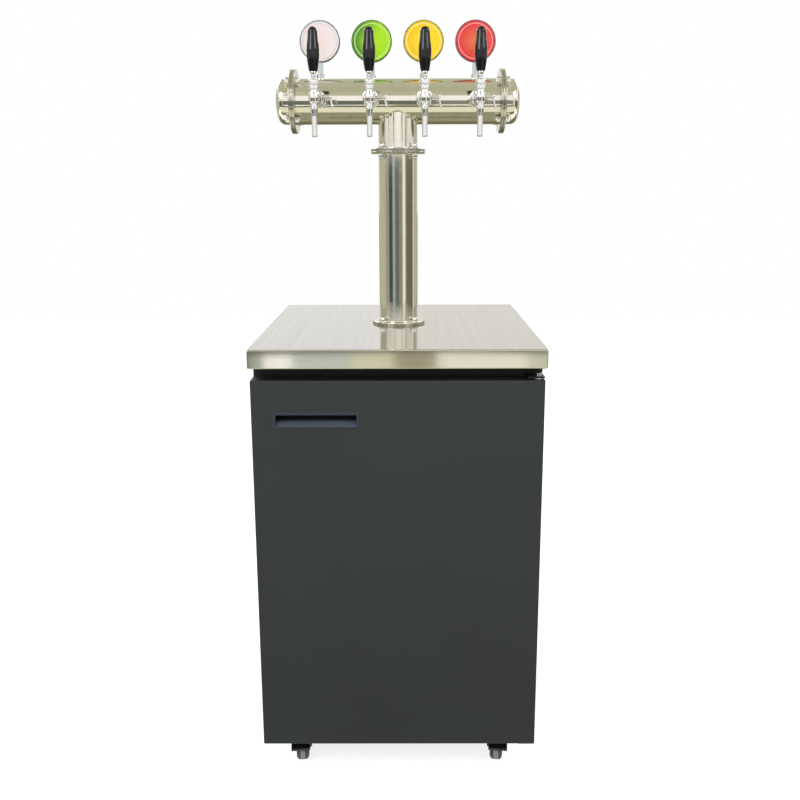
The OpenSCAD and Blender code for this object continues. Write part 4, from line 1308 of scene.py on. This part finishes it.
@dataclass
class Taps:
    """Four pillar taps on their shanks, each with a handle and a flow lever."""

    xs: tuple[float, ...] = TAP_XS
    bar_y: float = TOWER_Y
    y: float = -128.0
    z: float = BAR_Z
    saddle_r: float = 18.0
    saddle: tuple[float, float] = (-62.0, -44.0)
    shank_r: float = 11.0
    nut_r: float = 17.0
    nut: tuple[float, float] = (-104.0, -84.0)
    nut_step: float = 2.2
    holes: int = 6
    hole_r: float = 2.2
    hole_deep: float = 3.0
    drill_len: float = 6.0
    body_r: float = 11.0
    tail: float = 56.8
    spout_tip: float = -84.5
    pivot: float = 26.0
    ball_r: float = 7.0
    stem_r: float = 4.0
    ferrule: tuple[float, float] = (36.0, 47.0)
    handle_len: float = 87.5
    handle_d: float = 26.3
    handle_foot: float = 18.0
    handle_top: float = 19.7
    belly: float = 0.5
    flow_y: float = 40.0
    flow_out: float = 14.0
    grip_r: float = 4.6
    grip_end: float = 30.0
    arm_r: float = 2.2
    arm_len: float = 21.0
    arm_lean: float = 12.0
    tip_r: float = 2.8
    play: float = 0.3

    def build(self) -> None:
        """Models one tap and puts four of them along the bar."""
        shank, body = self.shank(), self.body()
        shanks, bodies = [], []
        for n, x in enumerate(self.xs, 1):
            shanks.append(copied(shank, "shank", shift(x, self.bar_y, self.z)))
            place = shift(x, self.y, self.z)
            bodies.append(copied(body, "tap", place))
            self.lever(n, place)
            self.flow(n, place)
        bpy.data.objects.remove(shank)
        bpy.data.objects.remove(body)
        stands_for(joined("shanks_chromed", shanks), CHROME, "shanks")
        stands_for(joined("taps_chromed", bodies), CHROME, "tap_bodies")

    def shank(self) -> Piece:
        """Turns a saddle, shank and coupling nut in one, and drills the nut's spanner holes.

        Returns:
            The shank.
        """
        low, high = self.nut
        foot, root = self.saddle
        step, rim, r = self.nut_r - self.nut_step - 0.6, self.nut_r - 1.2, self.shank_r
        front = [*arc((step, low + 0.8), 0.8, -90, 0, 3), *arc((rim, low + 3.2), 1.2, -90, 0, 4)]
        back = [*arc((rim, high - 3.2), 1.2, 0, 90, 4), *arc((step, high - 0.8), 0.8, 0, 90, 3)]
        flare = [(r, foot - 3), *arc((r + 2, foot - 2), 2, 180, 90, 4)]
        saddle = [*arc((self.saddle_r - 2.5, foot + 2.5), 2.5, -90, 0, 5), (self.saddle_r, root)]
        profile = [(0, low), (self.body_r + 1.5, low), *front, *back, (r, high), *flare, *saddle, (0, root)]
        shank = turned("shank", profile, axis=Axis.Y, steps=72)
        drill = [(0, 0), (self.hole_r, 0), (self.hole_r, self.drill_len), (0, self.drill_len)]
        for k in range(self.holes):
            turn = Matrix.Rotation(math.tau * (k + 0.5) / self.holes, 4, "Y")
            hole = turned("cutter", drill, (0, 0, self.nut_r - self.hole_deep), steps=20)
            hole.data.transform(turn @ shift(0, (low + high) / 2, 0))
            combined(shank, hole, Solid.CUT)
        smooth(shank)
        return shank

    def body(self) -> Piece:
        """Joins a tap's tail, barrel and flow boss, and sets the spout in its foot.

        Returns:
            The tap's body.
        """
        r, tip = self.body_r, self.spout_tip
        grooves = [(r, 13), *arc((r, 15), 1.6, -60, 60, 5), (r, 17), (r, 22), (r - 1, 22.6), (r - 1, 24.2),
                   (r, 24.8)]
        profile = [(0, 0), (r, 0), *grooves, (r, self.tail), (0, self.tail)]
        tail = turned("tap", profile, axis=Axis.Y, steps=72)
        belly = [(7.9, -17), (9.3, -15.4), (10.4, -12), (r, -7), (r, -3), (10.5, 1), (9.4, 4.6), (8.6, 6.6)]
        collars = [(8.5, 9.2), (8.5, 10.4), *arc((r - 1.4, 11.9), 1.4, -90, 0, 4),
                   *arc((r - 1.4, 17.6), 1.4, 0, 90, 4), (8.9, 19.4), (8.9, 20.4),
                   *arc((r - 1.2, 21.6), 1.2, -90, 0, 4), *arc((r - 4, 27.6), 4, 0, 68, 6)]
        socket = [(8.3, 31.2), (7.4, 27.5), (7.4, 18.6), (0, 18.6)]
        barrel = turned("barrel", [(0, -17), *belly, *collars, *socket], steps=72)
        side = [(0, 0), (6, 0), (6, 12.6), *arc((4.8, 12.8), 1.2, 0, 90, 3), (0, self.flow_out)]
        boss = turned("boss", side, (0, self.flow_y, 0), Axis.X, 48)
        body = combined(combined(tail, barrel), boss)
        smooth(body)
        lip = [(4.3, tip), (5.1, tip), *arc((5.1, tip + 0.7), 0.7, -90, 0, 3), (5.8, tip + 2.5)]
        neck = [(5.8, -43), (5.8, -39), (7.75, -35.4), (7.75, -26), *arc((7.75, -25), 1.0, -70, 70, 4),
                (7.75, -24), (7.75, -16.5)]
        bore = [(0, -16.5), (0, -36), (4.3, -38), (4.3, tip)]
        spout = turned("spout", [*lip, *neck, *bore], steps=64)
        return joined("tap", [body, spout])

    def lever(self, n: int, place: Matrix) -> None:
        """Turns a lever with its ball and ferrule, and the handle on it.

        Args:
            n: The tap's number.
            place: The tap's place along the bar.
        """
        low, high = self.ferrule
        r = self.stem_r
        ball = arc((0, self.pivot), self.ball_r, -90, math.degrees(math.acos(r / self.ball_r)), 14)
        collar = [(r, low), (r + 1.6, low + 0.8), (r + 1.6, low + 3), (r + 0.8, low + 3.6)]
        crown = [(6.3, high - 3), *arc((6.3, high - 1.8), 1.2, -70, 60, 4), (6.4, high), (0, high)]
        lever = turned(f"lever_{n}", [*ball, *collar, *crown], steps=56)
        lever.data.transform(place)
        stands_for(lever, CHROME, f"tap_lever_{n}")
        handle = turned(f"handle_{n}", self.handle_profile(high), steps=72)
        handle.data.transform(place)
        stands_for(handle, PHENOLIC, f"tap_handle_{n}")

    def handle_profile(self, low: float) -> Outline:
        """Draws the handle from its foot over its belly to its domed top.

        Args:
            low: The height of its foot.

        Returns:
            Pairs of radius and height.
        """
        runs = 30
        body = self.handle_len - self.handle_top / 2
        profile = [(0, low), *arc((self.handle_foot / 2 - 1.2, low + 1.2), 1.2, -90, 0, 4)]
        for k in range(1, runs + 1):
            s = k / runs
            if s < self.belly:
                end, ease = self.handle_foot, math.sin(math.pi / 2 * s / self.belly)
            else:
                end, ease = self.handle_top, (1 + math.cos(math.pi * (s - self.belly) / (1 - self.belly))) / 2
            wide = end + (self.handle_d - end) * ease
            profile.append((wide / 2, low + max(body * s, 1.6)))
        return profile + arc((0, low + body), self.handle_top / 2, 6, 90, 10)

    def flow(self, n: int, place: Matrix) -> None:
        """Turns a flow lever's grip, and the arm that hangs from its end.

        Args:
            n: The tap's number.
            place: The tap's place along the bar.
        """
        start, r = self.flow_out + self.play, self.grip_r
        groove = [(r, start + 5), (r - 0.6, start + 5.6), (r - 0.6, start + 7), (r, start + 7.6)]
        dome = arc((0, self.grip_end), r, 0, 90, 8)
        grip = turned(f"flow_{n}", [(0, start), (3.6, start), (r, start + 1), *groove, *dome],
                      (0, self.flow_y, 0), Axis.X, 40)
        lean = Matrix.Rotation(math.radians(180 - self.arm_lean), 4, "Y")
        tip = arc((0, self.arm_len), self.tip_r, -52, 90, 8)
        arm = turned("arm", [(0, 0), (self.arm_r, 0), (self.arm_r, self.arm_len - 2.2), *tip], steps=28)
        arm.data.transform(shift(self.grip_end, self.flow_y, 0) @ lean)
        lever = combined(grip, arm)
        lever.data.transform(place)
        smooth(lever)
        stands_for(lever, CHROME, f"flow_lever_{n}")


@dataclass(frozen=True)
class Print:
    """The colours of one sign: its face's left, right and middle, its ring, and its clear edge's tint, a
    painted reflection of the print.
    """

    name: str
    left: str
    right: str
    middle: str
    line: str
    edge: str


@dataclass
class Medallions:
    """Round clear signs over the taps, each with a printed face."""

    xs: tuple[float, ...] = TAP_XS
    y: float = TOWER_Y
    bar_z: float = BAR_Z
    z: float = 1601.1
    radius: float = 45.0
    half: float = 4.0
    edge: float = 1.0
    lip: float = 0.3
    recess: float = 42.3
    floor: float = -1.7
    face_r: float = 42.1
    face_front: float = -3.9
    face_edge: float = 0.4
    stem_w: float = 13.0
    stem_t: float = 6.0
    stem_foot: float = 60.1
    stem_round: float = 0.8
    holder_r: float = 9.0
    holder: tuple[float, float] = (47.0, 60.0)
    groove: float = 0.7
    crown: float = 1.2
    prints: tuple[Print, ...] = (
        Print("pale", "#E4D8D6", "#E8DEDC", "#ECD5CF", "#DAC6C3", "#B9C0C3"),
        Print("green", "#4F8F26", "#A2DB14", "#B0E014", "#CDE58C", "#86B04A"),
        Print("yellow", "#F0C20E", "#F3CF14", "#F4D93A", "#F5E59A", "#D6C463"),
        Print("red", "#DC3B3B", "#E24444", "#DE7048", "#EDA199", "#CC6F76"))

    def build(self) -> None:
        """Makes the holders, the clear bodies and the faces."""
        holders, bodies = [], []
        for n, (x, colours) in enumerate(zip(self.xs, self.prints), 1):
            holders.append(self.holder_at(x))
            # Each disc's edge and front are tinted with its print's colour: a painted reflection of the
            # print.
            edge_tint = replace(ACRYLIC, name=f"{ACRYLIC.name}_{colours.name}", colour=colours.edge)
            bodies.append(self.body(x, edge_tint))
            self.face(n, x, colours)
        stands_for(joined("sign_holders", holders), CHROME, "medallion_holders")
        stands_for(joined("sign_bodies", bodies), ACRYLIC, "medallion_bodies")

    def holder_at(self, x: float) -> Piece:
        """Turns the grooved holder of one sign's stem.

        Args:
            x: The sign's place along the bar.

        Returns:
            The holder.
        """
        (low, high), r = self.holder, self.holder_r
        wall = [(r, low), (r, low + 3), (r, high - 3)]
        groove = [(r - self.groove, high - 2.4), (r - self.groove, high - 1.8)]
        crown = arc((r - self.crown, high - self.crown), self.crown, 0, 90, 4)
        profile = [(0, low), *wall, *groove, *crown, (0, high)]
        return turned("holder", profile, (x, self.y, self.bar_z), steps=56)

    def body(self, x: float, edge_tint: ClearAcrylic) -> Piece:
        """Turns a clear disc with a recess in front, and grows its stem.

        Args:
            x: The sign's place along the bar.
            edge_tint: The finish of its disc's edge and front, tinted with the print's colour as a painted
                reflection of the print.

        Returns:
            The sign's body.
        """
        edge, h, rim = self.edge, self.half, self.radius - self.edge
        recess = [(self.recess, self.floor), (self.recess, -h + self.lip), (self.recess + self.lip, -h)]
        outside = [*arc((rim, -h + edge), edge, -90, 0, 4), *arc((rim, h - edge), edge, 0, 90, 4)]
        profile = [(0, self.floor), *recess, *outside, (0, h)]
        disc = turned("sign", profile, (x, self.y, self.z), Axis.Y, 96)
        w, t = self.stem_w / 2, self.stem_t / 2
        stem = block("stem", (x - w, self.y - t, self.bar_z + self.stem_foot),
                     (x + w, self.y + t, self.z - (self.radius + self.recess) / 2))
        round_edges(stem, self.stem_round)
        sign = combined(disc, stem)
        smooth(sign)
        foot = (self.z - self.radius) * MM

        def part(face: Face) -> int:
            """Tells the stem (0), the disc's edge and front (1) and its back (2) apart."""
            if face.center.z <= foot:
                return 0
            return 2 if face.normal.y > FACING else 1

        divide(sign, part, ACRYLIC, edge_tint, FROSTED)
        return sign

    def face(self, n: int, x: float, colours: Print) -> None:
        """Makes one printed face.

        Args:
            n: The sign's number.
            x: Its place along the bar.
            colours: Its colours.
        """
        at = (x, self.y, self.z)
        profile = disc_profile(self.face_r, self.face_front, self.floor, self.face_edge)
        face = turned(f"sign_face_{n}", profile, at, Axis.Y, 96)
        finish = PrintedFace(f"gloss_print_{colours.name}", colours.right, 0.2, specular=0.3, centre=at,
                             left=colours.left, right=colours.right, middle=colours.middle,
                             line=colours.line, radius=self.face_r)
        stands_for(face, finish, f"medallion_face_{n}")


@dataclass
class Castors:
    """Four swivel castors, the front two with brake pedals."""

    tread_in: float = 24.0
    wheel_r: float = 31.5
    half: float = 14.0
    crown: float = 8.5
    seat: float = 0.5
    bore: float = 4.4
    pedal_end: float = 62.0
    pedal_reach: tuple[float, float] = (9.0, 10.0)
    edge_round: float = 0.8
    worn_lit_tread_from: float = 3.0
    worn_lit_tread_lean: float = 0.1
    plates: Soft = Soft("castor_plates", "castor_top_plates", 0.6, CASTOR_COAT)

    def build(self) -> None:
        """Makes the plates, forks, wheels and pedals."""
        self.plates.build()
        for n in range(1, 5):
            Soft(f"castor_fork_{n}", f"fork_{n}", self.edge_round, CASTOR_COAT, 3).build()
            self.wheel(n)
        for n in (1, 2):
            self.pedal(n)

    def pedal(self, n: int) -> None:
        """Moulds a brake pedal and draws its tread out and down.

        Args:
            n: The castor's number.
        """
        pedal = softened(f"castor_brake_{n}", f"pedal_{n}", self.edge_round, 3)
        pivot = Vector(joint_of(f"castor_{n}_swivel")[0]) * MM
        axle = joint_of(f"castor_{n}_roll")[1]
        ahead = Vector((axle.y, -axle.x, 0))
        out, down = self.pedal_reach
        nudge(pedal, lambda v: (v.co - pivot).dot(ahead) > self.pedal_end * MM,
              tuple(ahead * out * MM - Vector((0, 0, down * MM))))
        stands_for(pedal, BLACK_NYLON, f"castor_brake_{n}")

    def wheel(self, n: int) -> None:
        """Turns a wheel's tyre and its hub on the axle that the joint gives.

        Args:
            n: The castor's number.
        """
        at, axle = joint_of(f"castor_{n}_roll")
        spin = Matrix.Rotation(math.atan2(axle.y, axle.x), 4, "Z")
        rim, w, deep, bore = self.tread_in, self.half, self.crown, self.bore
        edge, seat = self.wheel_r - deep, rim - self.seat
        tread = [*arc((edge, -w + deep), deep, -90, 0, 6), *arc((edge, w - deep), deep, 0, 90, 6)]
        foot = (seat, -w + 1.5)
        tyre = turned(f"tyre_{n}", [foot, *tread, (seat, w - 1.5), foot], at, Axis.X, 72, spin)
        half = [(rim, 0), (rim, w - 2), (rim - 1, w - 1.2), (rim - 3, w - 1.6), (rim - 4.5, 5), (12, 4.4),
                (10, w - 3), (9, w - 2), (5, w - 2), (bore, w - 3), (bore, 0)]
        other = [(r, -h) for r, h in reversed(half[1:])]
        hub = turned(f"hub_{n}", [*other, *half, (bore, -w + 3)], at, Axis.X, 56, spin)
        # The tyre's crown is painted pale: partly wear, partly a painted highlight.
        middle, worn_lit_tread = Vector(at) * MM, (rim + self.worn_lit_tread_from) * MM
        divide(tyre, lambda face: (face.center - middle).length > worn_lit_tread
               and abs(face.normal.dot(axle)) < self.worn_lit_tread_lean, TYRE, TREAD_WEAR_AND_HIGHLIGHT)
        paint(hub, BLACK_NYLON)
        stands_for(joined(f"wheel_{n}", [tyre, hub]), TYRE, f"castor_wheel_{n}")


@dataclass
class Refrigeration:
    """What cools the beer and carries it: machine, cold plate, fans, lines."""

    soft: tuple[Soft, ...] = (
        Soft("compressor", "compressor_pot", 1.2, POT_ENAMEL),
        Soft("condenser", "condenser_block", 0.0, FIN_METAL),
        Soft("condenser_fan", "condenser_blades", 0.3, BLACK_NYLON),
        Soft("evaporator_cover", "cold_air_cover", 1.6, WHITE_ABS),
        Soft("evaporator_coil", "cold_coil", 0.0, FIN_METAL),
        Soft("evaporator_fan", "cold_air_blades", 0.3, BLACK_NYLON),
        Soft("thermostat_knob", "knob", 0.4, BLACK_NYLON),
        Soft("beer_lines", "lines", 0.0, LINE_PE),
        Soft("line_fittings", "couplers", 0.4, CHROME))
    pointer_size: Point = (0.9, 3.0, 12.5)
    pointer_rise: float = 0.4
    pointer_root: float = 0.6
    pointer_round: float = 0.25

    def build(self) -> None:
        """Softens each node, gives it its finish and adds the knob's pointer."""
        for piece in self.soft:
            piece.build()
        self.pointer()

    def pointer(self) -> None:
        """Sets a white pointer in the face of the thermostat's knob."""
        low, high = corners("thermostat_knob")
        x, z = (low[0] + high[0]) / 2, (low[2] + high[2]) / 2
        half, start, end = self.pointer_size
        mark = block("knob_pointer", (x - half, low[1] - self.pointer_rise, z + start),
                     (x + half, low[1] + self.pointer_root, z + end))
        round_edges(mark, self.pointer_round)
        goes_with(mark, WHITE_NYLON, "thermostat_knob")


# Studio


@dataclass(frozen=True)
class Lamp:
    """A square soft lamp that looks at the middle of the dispenser."""

    name: str
    at: Point
    size: float
    watts: float
    colour: str = "#FFFFFF"
    mirrored: bool = True

    def hang(self, target: Point) -> None:
        """Hangs the lamp and turns it to a target.

        Args:
            target: The point it looks at, in millimetres.
        """
        light = bpy.data.lights.new(self.name, "AREA")
        light.size = self.size * MM
        light.energy = self.watts
        light.color = linear(self.colour)[:3]
        lamp = bpy.data.objects.new(self.name, light)
        lamp.location = Vector(self.at) * MM
        aim = Vector(target) - Vector(self.at)
        lamp.rotation_euler = aim.to_track_quat("-Z", "Y").to_euler()
        lamp.visible_glossy = self.mirrored
        bpy.context.scene.collection.objects.link(lamp)


@dataclass(frozen=True)
class Card:
    """A glowing board round the dispenser that only polished metal shows."""

    name: str
    colour: str
    strength: float

    def show(self, place: Vector, size: tuple[float, float], rotation: Point = (0, 0, 0)) -> None:
        """Puts the board in the studio, unseen but in reflections.

        Args:
            place: Its middle in millimetres.
            size: Its width and height in millimetres.
            rotation: Its turns about X, Y and Z in radians.
        """
        deselect()
        bpy.ops.mesh.primitive_plane_add(size=1, location=place * MM, rotation=rotation)
        card = bpy.context.object
        card.name = self.name
        card.scale = (size[0] * MM, size[1] * MM, 1)
        glow = bpy.data.materials.new(self.name)
        glow.use_nodes = True
        tree = glow.node_tree
        tree.nodes.clear()
        light = add_node(tree, "ShaderNodeEmission",
                         {"Color": linear(self.colour), "Strength": self.strength})
        add_node(tree, "ShaderNodeOutputMaterial", {"Surface": light.outputs["Emission"]})
        card.data.materials.append(glow)
        card.visible_camera = False
        card.visible_diffuse = False
        card.visible_shadow = False
        card.visible_transmission = False


@dataclass(frozen=True)
class StandingCard(Card):
    """A board on its edge, its turns measured from the front, to the right as positive degrees."""

    turns: tuple[float, float]
    levels: tuple[float, float]
    away: float = 3200.0

    def put(self) -> None:
        """Stands the board with its face to the dispenser."""
        turn = math.radians(sum(self.turns) / 2)
        half = math.radians(self.turns[1] - self.turns[0]) / 2
        low, high = self.levels
        place = Vector((math.sin(turn), -math.cos(turn), 0)) * self.away + Vector((0, 0, (low + high) / 2))
        self.show(place, (2 * self.away * math.tan(half), high - low), (math.pi / 2, 0, turn))


@dataclass(frozen=True)
class FlatCard(Card):
    """A board that lies flat, overhead or on the floor."""

    middle: Point
    size: tuple[float, float]

    def put(self) -> None:
        """Lays the board in its place."""
        self.show(Vector(self.middle), self.size)


@dataclass
class Studio:
    """White sweep, soft lamps, reflection cards and the camera."""

    eye: Point = (18.12, -1905.0, 1297.08)
    pitch: float = 0.19601
    yaw: float = 0.00311
    roll: float = -0.00282
    focal_px: float = 825.31
    clip_m: float = 100.0
    centre_px: tuple[float, float] = (403.92, 345.0)
    target: Point = (0.0, 0.0, 800.0)
    ambient: float = 0.4
    floor_half: float = 6000.0
    floor_deep: float = 20.0
    floor_roughness: float = 0.9
    floor_colour: str = "#BFBFBD"
    floor_glow: float = 0.8
    lamps: tuple[Lamp, ...] = (
        Lamp("key_lamp", (-2300, -2700, 3100), 1800, 60),
        Lamp("fill_lamp", (2500, -2200, 3100), 1600, 36),
        Lamp("top_lamp", (100, -2500, 3300), 1800, 36, mirrored=False),
        Lamp("rear_left_lamp", (-2300, 2700, 2700), 1600, 45),
        Lamp("rear_right_lamp", (2300, 2700, 2700), 1600, 45))
    cards: tuple[StandingCard | FlatCard, ...] = (
        StandingCard("far_left_card", "#C9C9B4", 1.0, (-150, -94), (0, 2600)),
        StandingCard("left_card", "#C8C5B5", 1.0, (-94, -79), (0, 2200)),
        StandingCard("dim_card", "#A6A89E", 1.0, (-79, -56), (60, 1450)),
        StandingCard("deep_card", "#4F5859", 1.0, (-56, -34), (60, 1450)),
        StandingCard("pale_card", "#ABB7BD", 1.0, (-34, -18), (60, 1450)),
        StandingCard("slate_card", "#727A6F", 1.0, (-18, 3), (60, 1450)),
        StandingCard("front_card", "#94958A", 1.0, (3, 14), (60, 1450)),
        StandingCard("grey_card", "#9AA09B", 1.0, (14, 26), (60, 1450)),
        StandingCard("bright_card", "#FFFDF4", 1.06, (26, 42), (0, 2200)),
        StandingCard("fade_card", "#ABACA5", 1.0, (42, 49), (0, 1700)),
        StandingCard("olive_card", "#7A7561", 1.0, (49, 97), (0, 1500)),
        StandingCard("far_right_card", "#C9C4B8", 1.0, (103, 150), (0, 2600)),
        StandingCard("rear_card", "#8A8469", 1.0, (150, 210), (0, 1100)),
        StandingCard("rear_right_card", "#EFEEE8", 1.0, (158, 179.5), (1110, 3000)),
        StandingCard("rear_left_card", "#F6F6F4", 1.0, (180.5, 202), (1110, 3000)),
        StandingCard("band_card_1", "#FFFFFF", 1.2, (-14, 14), (1460, 2900)),
        StandingCard("band_card_2", "#CDCDB8", 1.0, (-14, 14), (2910, 4280)),
        StandingCard("edge_card_1", "#B4BDB1", 1.08, (-15.8, -14.3), (100, 450), 2900),
        StandingCard("edge_card_2", "#FFFFFF", 1.36, (-14.3, -11.4), (100, 450), 2900),
        StandingCard("edge_card_3", "#D4DBDC", 1.12, (-11.4, -5.4), (100, 450), 2900),
        StandingCard("edge_card_4", "#F4F0DB", 1.03, (-5.4, -0.9), (100, 450), 2900),
        StandingCard("edge_card_5", "#BAB29D", 1.0, (-0.9, 3.5), (100, 450), 2900),
        StandingCard("edge_card_6", "#FFFCF5", 1.16, (3.5, 12.8), (100, 450), 2900),
        StandingCard("edge_card_7", "#DCDECF", 1.14, (12.8, 15.8), (100, 450), 2900),
        FlatCard("ceiling_card", "#C9CBB6", 1.0, (0, 1861, 4300), (9000, 5238)),
        FlatCard("front_ceiling_card", "#C6C6AE", 1.0, (0, -2019, 4300), (9000, 2522)),
        FlatCard("apron_card", "#827A5B", 1.0, (0, -625, 4), (3000, 450)),
        FlatCard("cream_floor_card", "#FFFDE6", 1.0, (0, -1590, 4), (5000, 1480)),
        FlatCard("dusk_floor_card", "#77786A", 1.0, (0, -2765, 4), (6000, 870)),
        FlatCard("rear_floor_card", "#7F795E", 1.0, (0, 1850, 4), (5000, 2700)))

    def build(self) -> None:
        """Sets up the floor, the world, the lamps, the cards and the camera."""
        scene = bpy.context.scene
        scene.view_settings.view_transform = "Standard"
        self.floor()
        self.world()
        for lamp in self.lamps:
            lamp.hang(self.target)
        for card in self.cards:
            card.put()
        self.camera()

    @staticmethod
    def seen(tree: Tree) -> Socket:
        """Tells what is seen from what only lights.

        Args:
            tree: The node tree to add to.

        Returns:
            A value that is 1 for what the eye, metal or glass sees, and 0 for lighting.
        """
        path = add_node(tree, "ShaderNodeLightPath").outputs
        bent = add_node(tree, "ShaderNodeMath", {0: path["Is Glossy Ray"], 1: path["Is Transmission Ray"]},
                        operation="MAXIMUM")
        return add_node(tree, "ShaderNodeMath", {0: path["Is Camera Ray"], 1: bent.outputs["Value"]},
                        operation="MAXIMUM").outputs["Value"]

    def floor(self) -> None:
        """Lays the pale floor, which keeps the object's shadow."""
        half = self.floor_half
        floor = block("studio_floor", (-half, -half, -self.floor_deep), (half, half, 0))
        pale = bpy.data.materials.new("painted_floor")
        pale.use_nodes = True
        tree = pale.node_tree
        shader = tree.nodes["Principled BSDF"]
        shader.inputs["Base Color"].default_value = linear(self.floor_colour)
        shader.inputs["Roughness"].default_value = self.floor_roughness
        shader.inputs["Specular IOR Level"].default_value = 0.0
        shader.inputs["Emission Color"].default_value = (1, 1, 1, 1)
        glow = add_node(tree, "ShaderNodeMath", {0: self.seen(tree), 1: self.floor_glow},
                        operation="MULTIPLY")
        tree.links.new(glow.outputs["Value"], shader.inputs["Emission Strength"])
        floor.data.materials.append(pale)

    def world(self) -> None:
        """Surrounds the studio with white that lights softly."""
        world = bpy.data.worlds.new("white_sweep")
        world.use_nodes = True
        tree = world.node_tree
        level = add_node(tree, "ShaderNodeMapRange", {"Value": self.seen(tree), "To Min": self.ambient,
                                                      "To Max": 1.0})
        tree.links.new(level.outputs["Result"], tree.nodes["Background"].inputs["Strength"])
        tree.nodes["Background"].inputs["Color"].default_value = (1, 1, 1, 1)
        bpy.context.scene.world = world

    def camera(self) -> None:
        """Puts the camera where the photograph was taken."""
        data = bpy.data.cameras.new("photo_camera")
        data.sensor_width = SENSOR_MM
        data.lens = self.focal_px / IMAGE_PX * SENSOR_MM
        data.shift_x = (IMAGE_PX / 2 - self.centre_px[0]) / IMAGE_PX
        data.shift_y = (self.centre_px[1] - IMAGE_PX / 2) / IMAGE_PX
        data.clip_end = self.clip_m
        camera = bpy.data.objects.new("photo_camera", data)
        bpy.context.scene.collection.objects.link(camera)
        level = Matrix.Rotation(math.pi / 2 - self.pitch, 4, "X")
        camera.matrix_world = (shift(*self.eye) @ Matrix.Rotation(self.yaw, 4, "Z") @ level
                               @ Matrix.Rotation(self.roll, 4, "Z"))
        bpy.context.scene.camera = camera


def main() -> None:
    """Builds the sub-assemblies and the studio."""
    logging.basicConfig(level=logging.INFO, format="%(message)s")
    for assembly in (Worktop(), Cabinet(), Door(), Tower(), Taps(), Medallions(), Castors(), Refrigeration()):
        log.info("building %s", type(assembly).__name__)
        assembly.build()
    Studio().build()


if __name__ == "__main__":
    main()
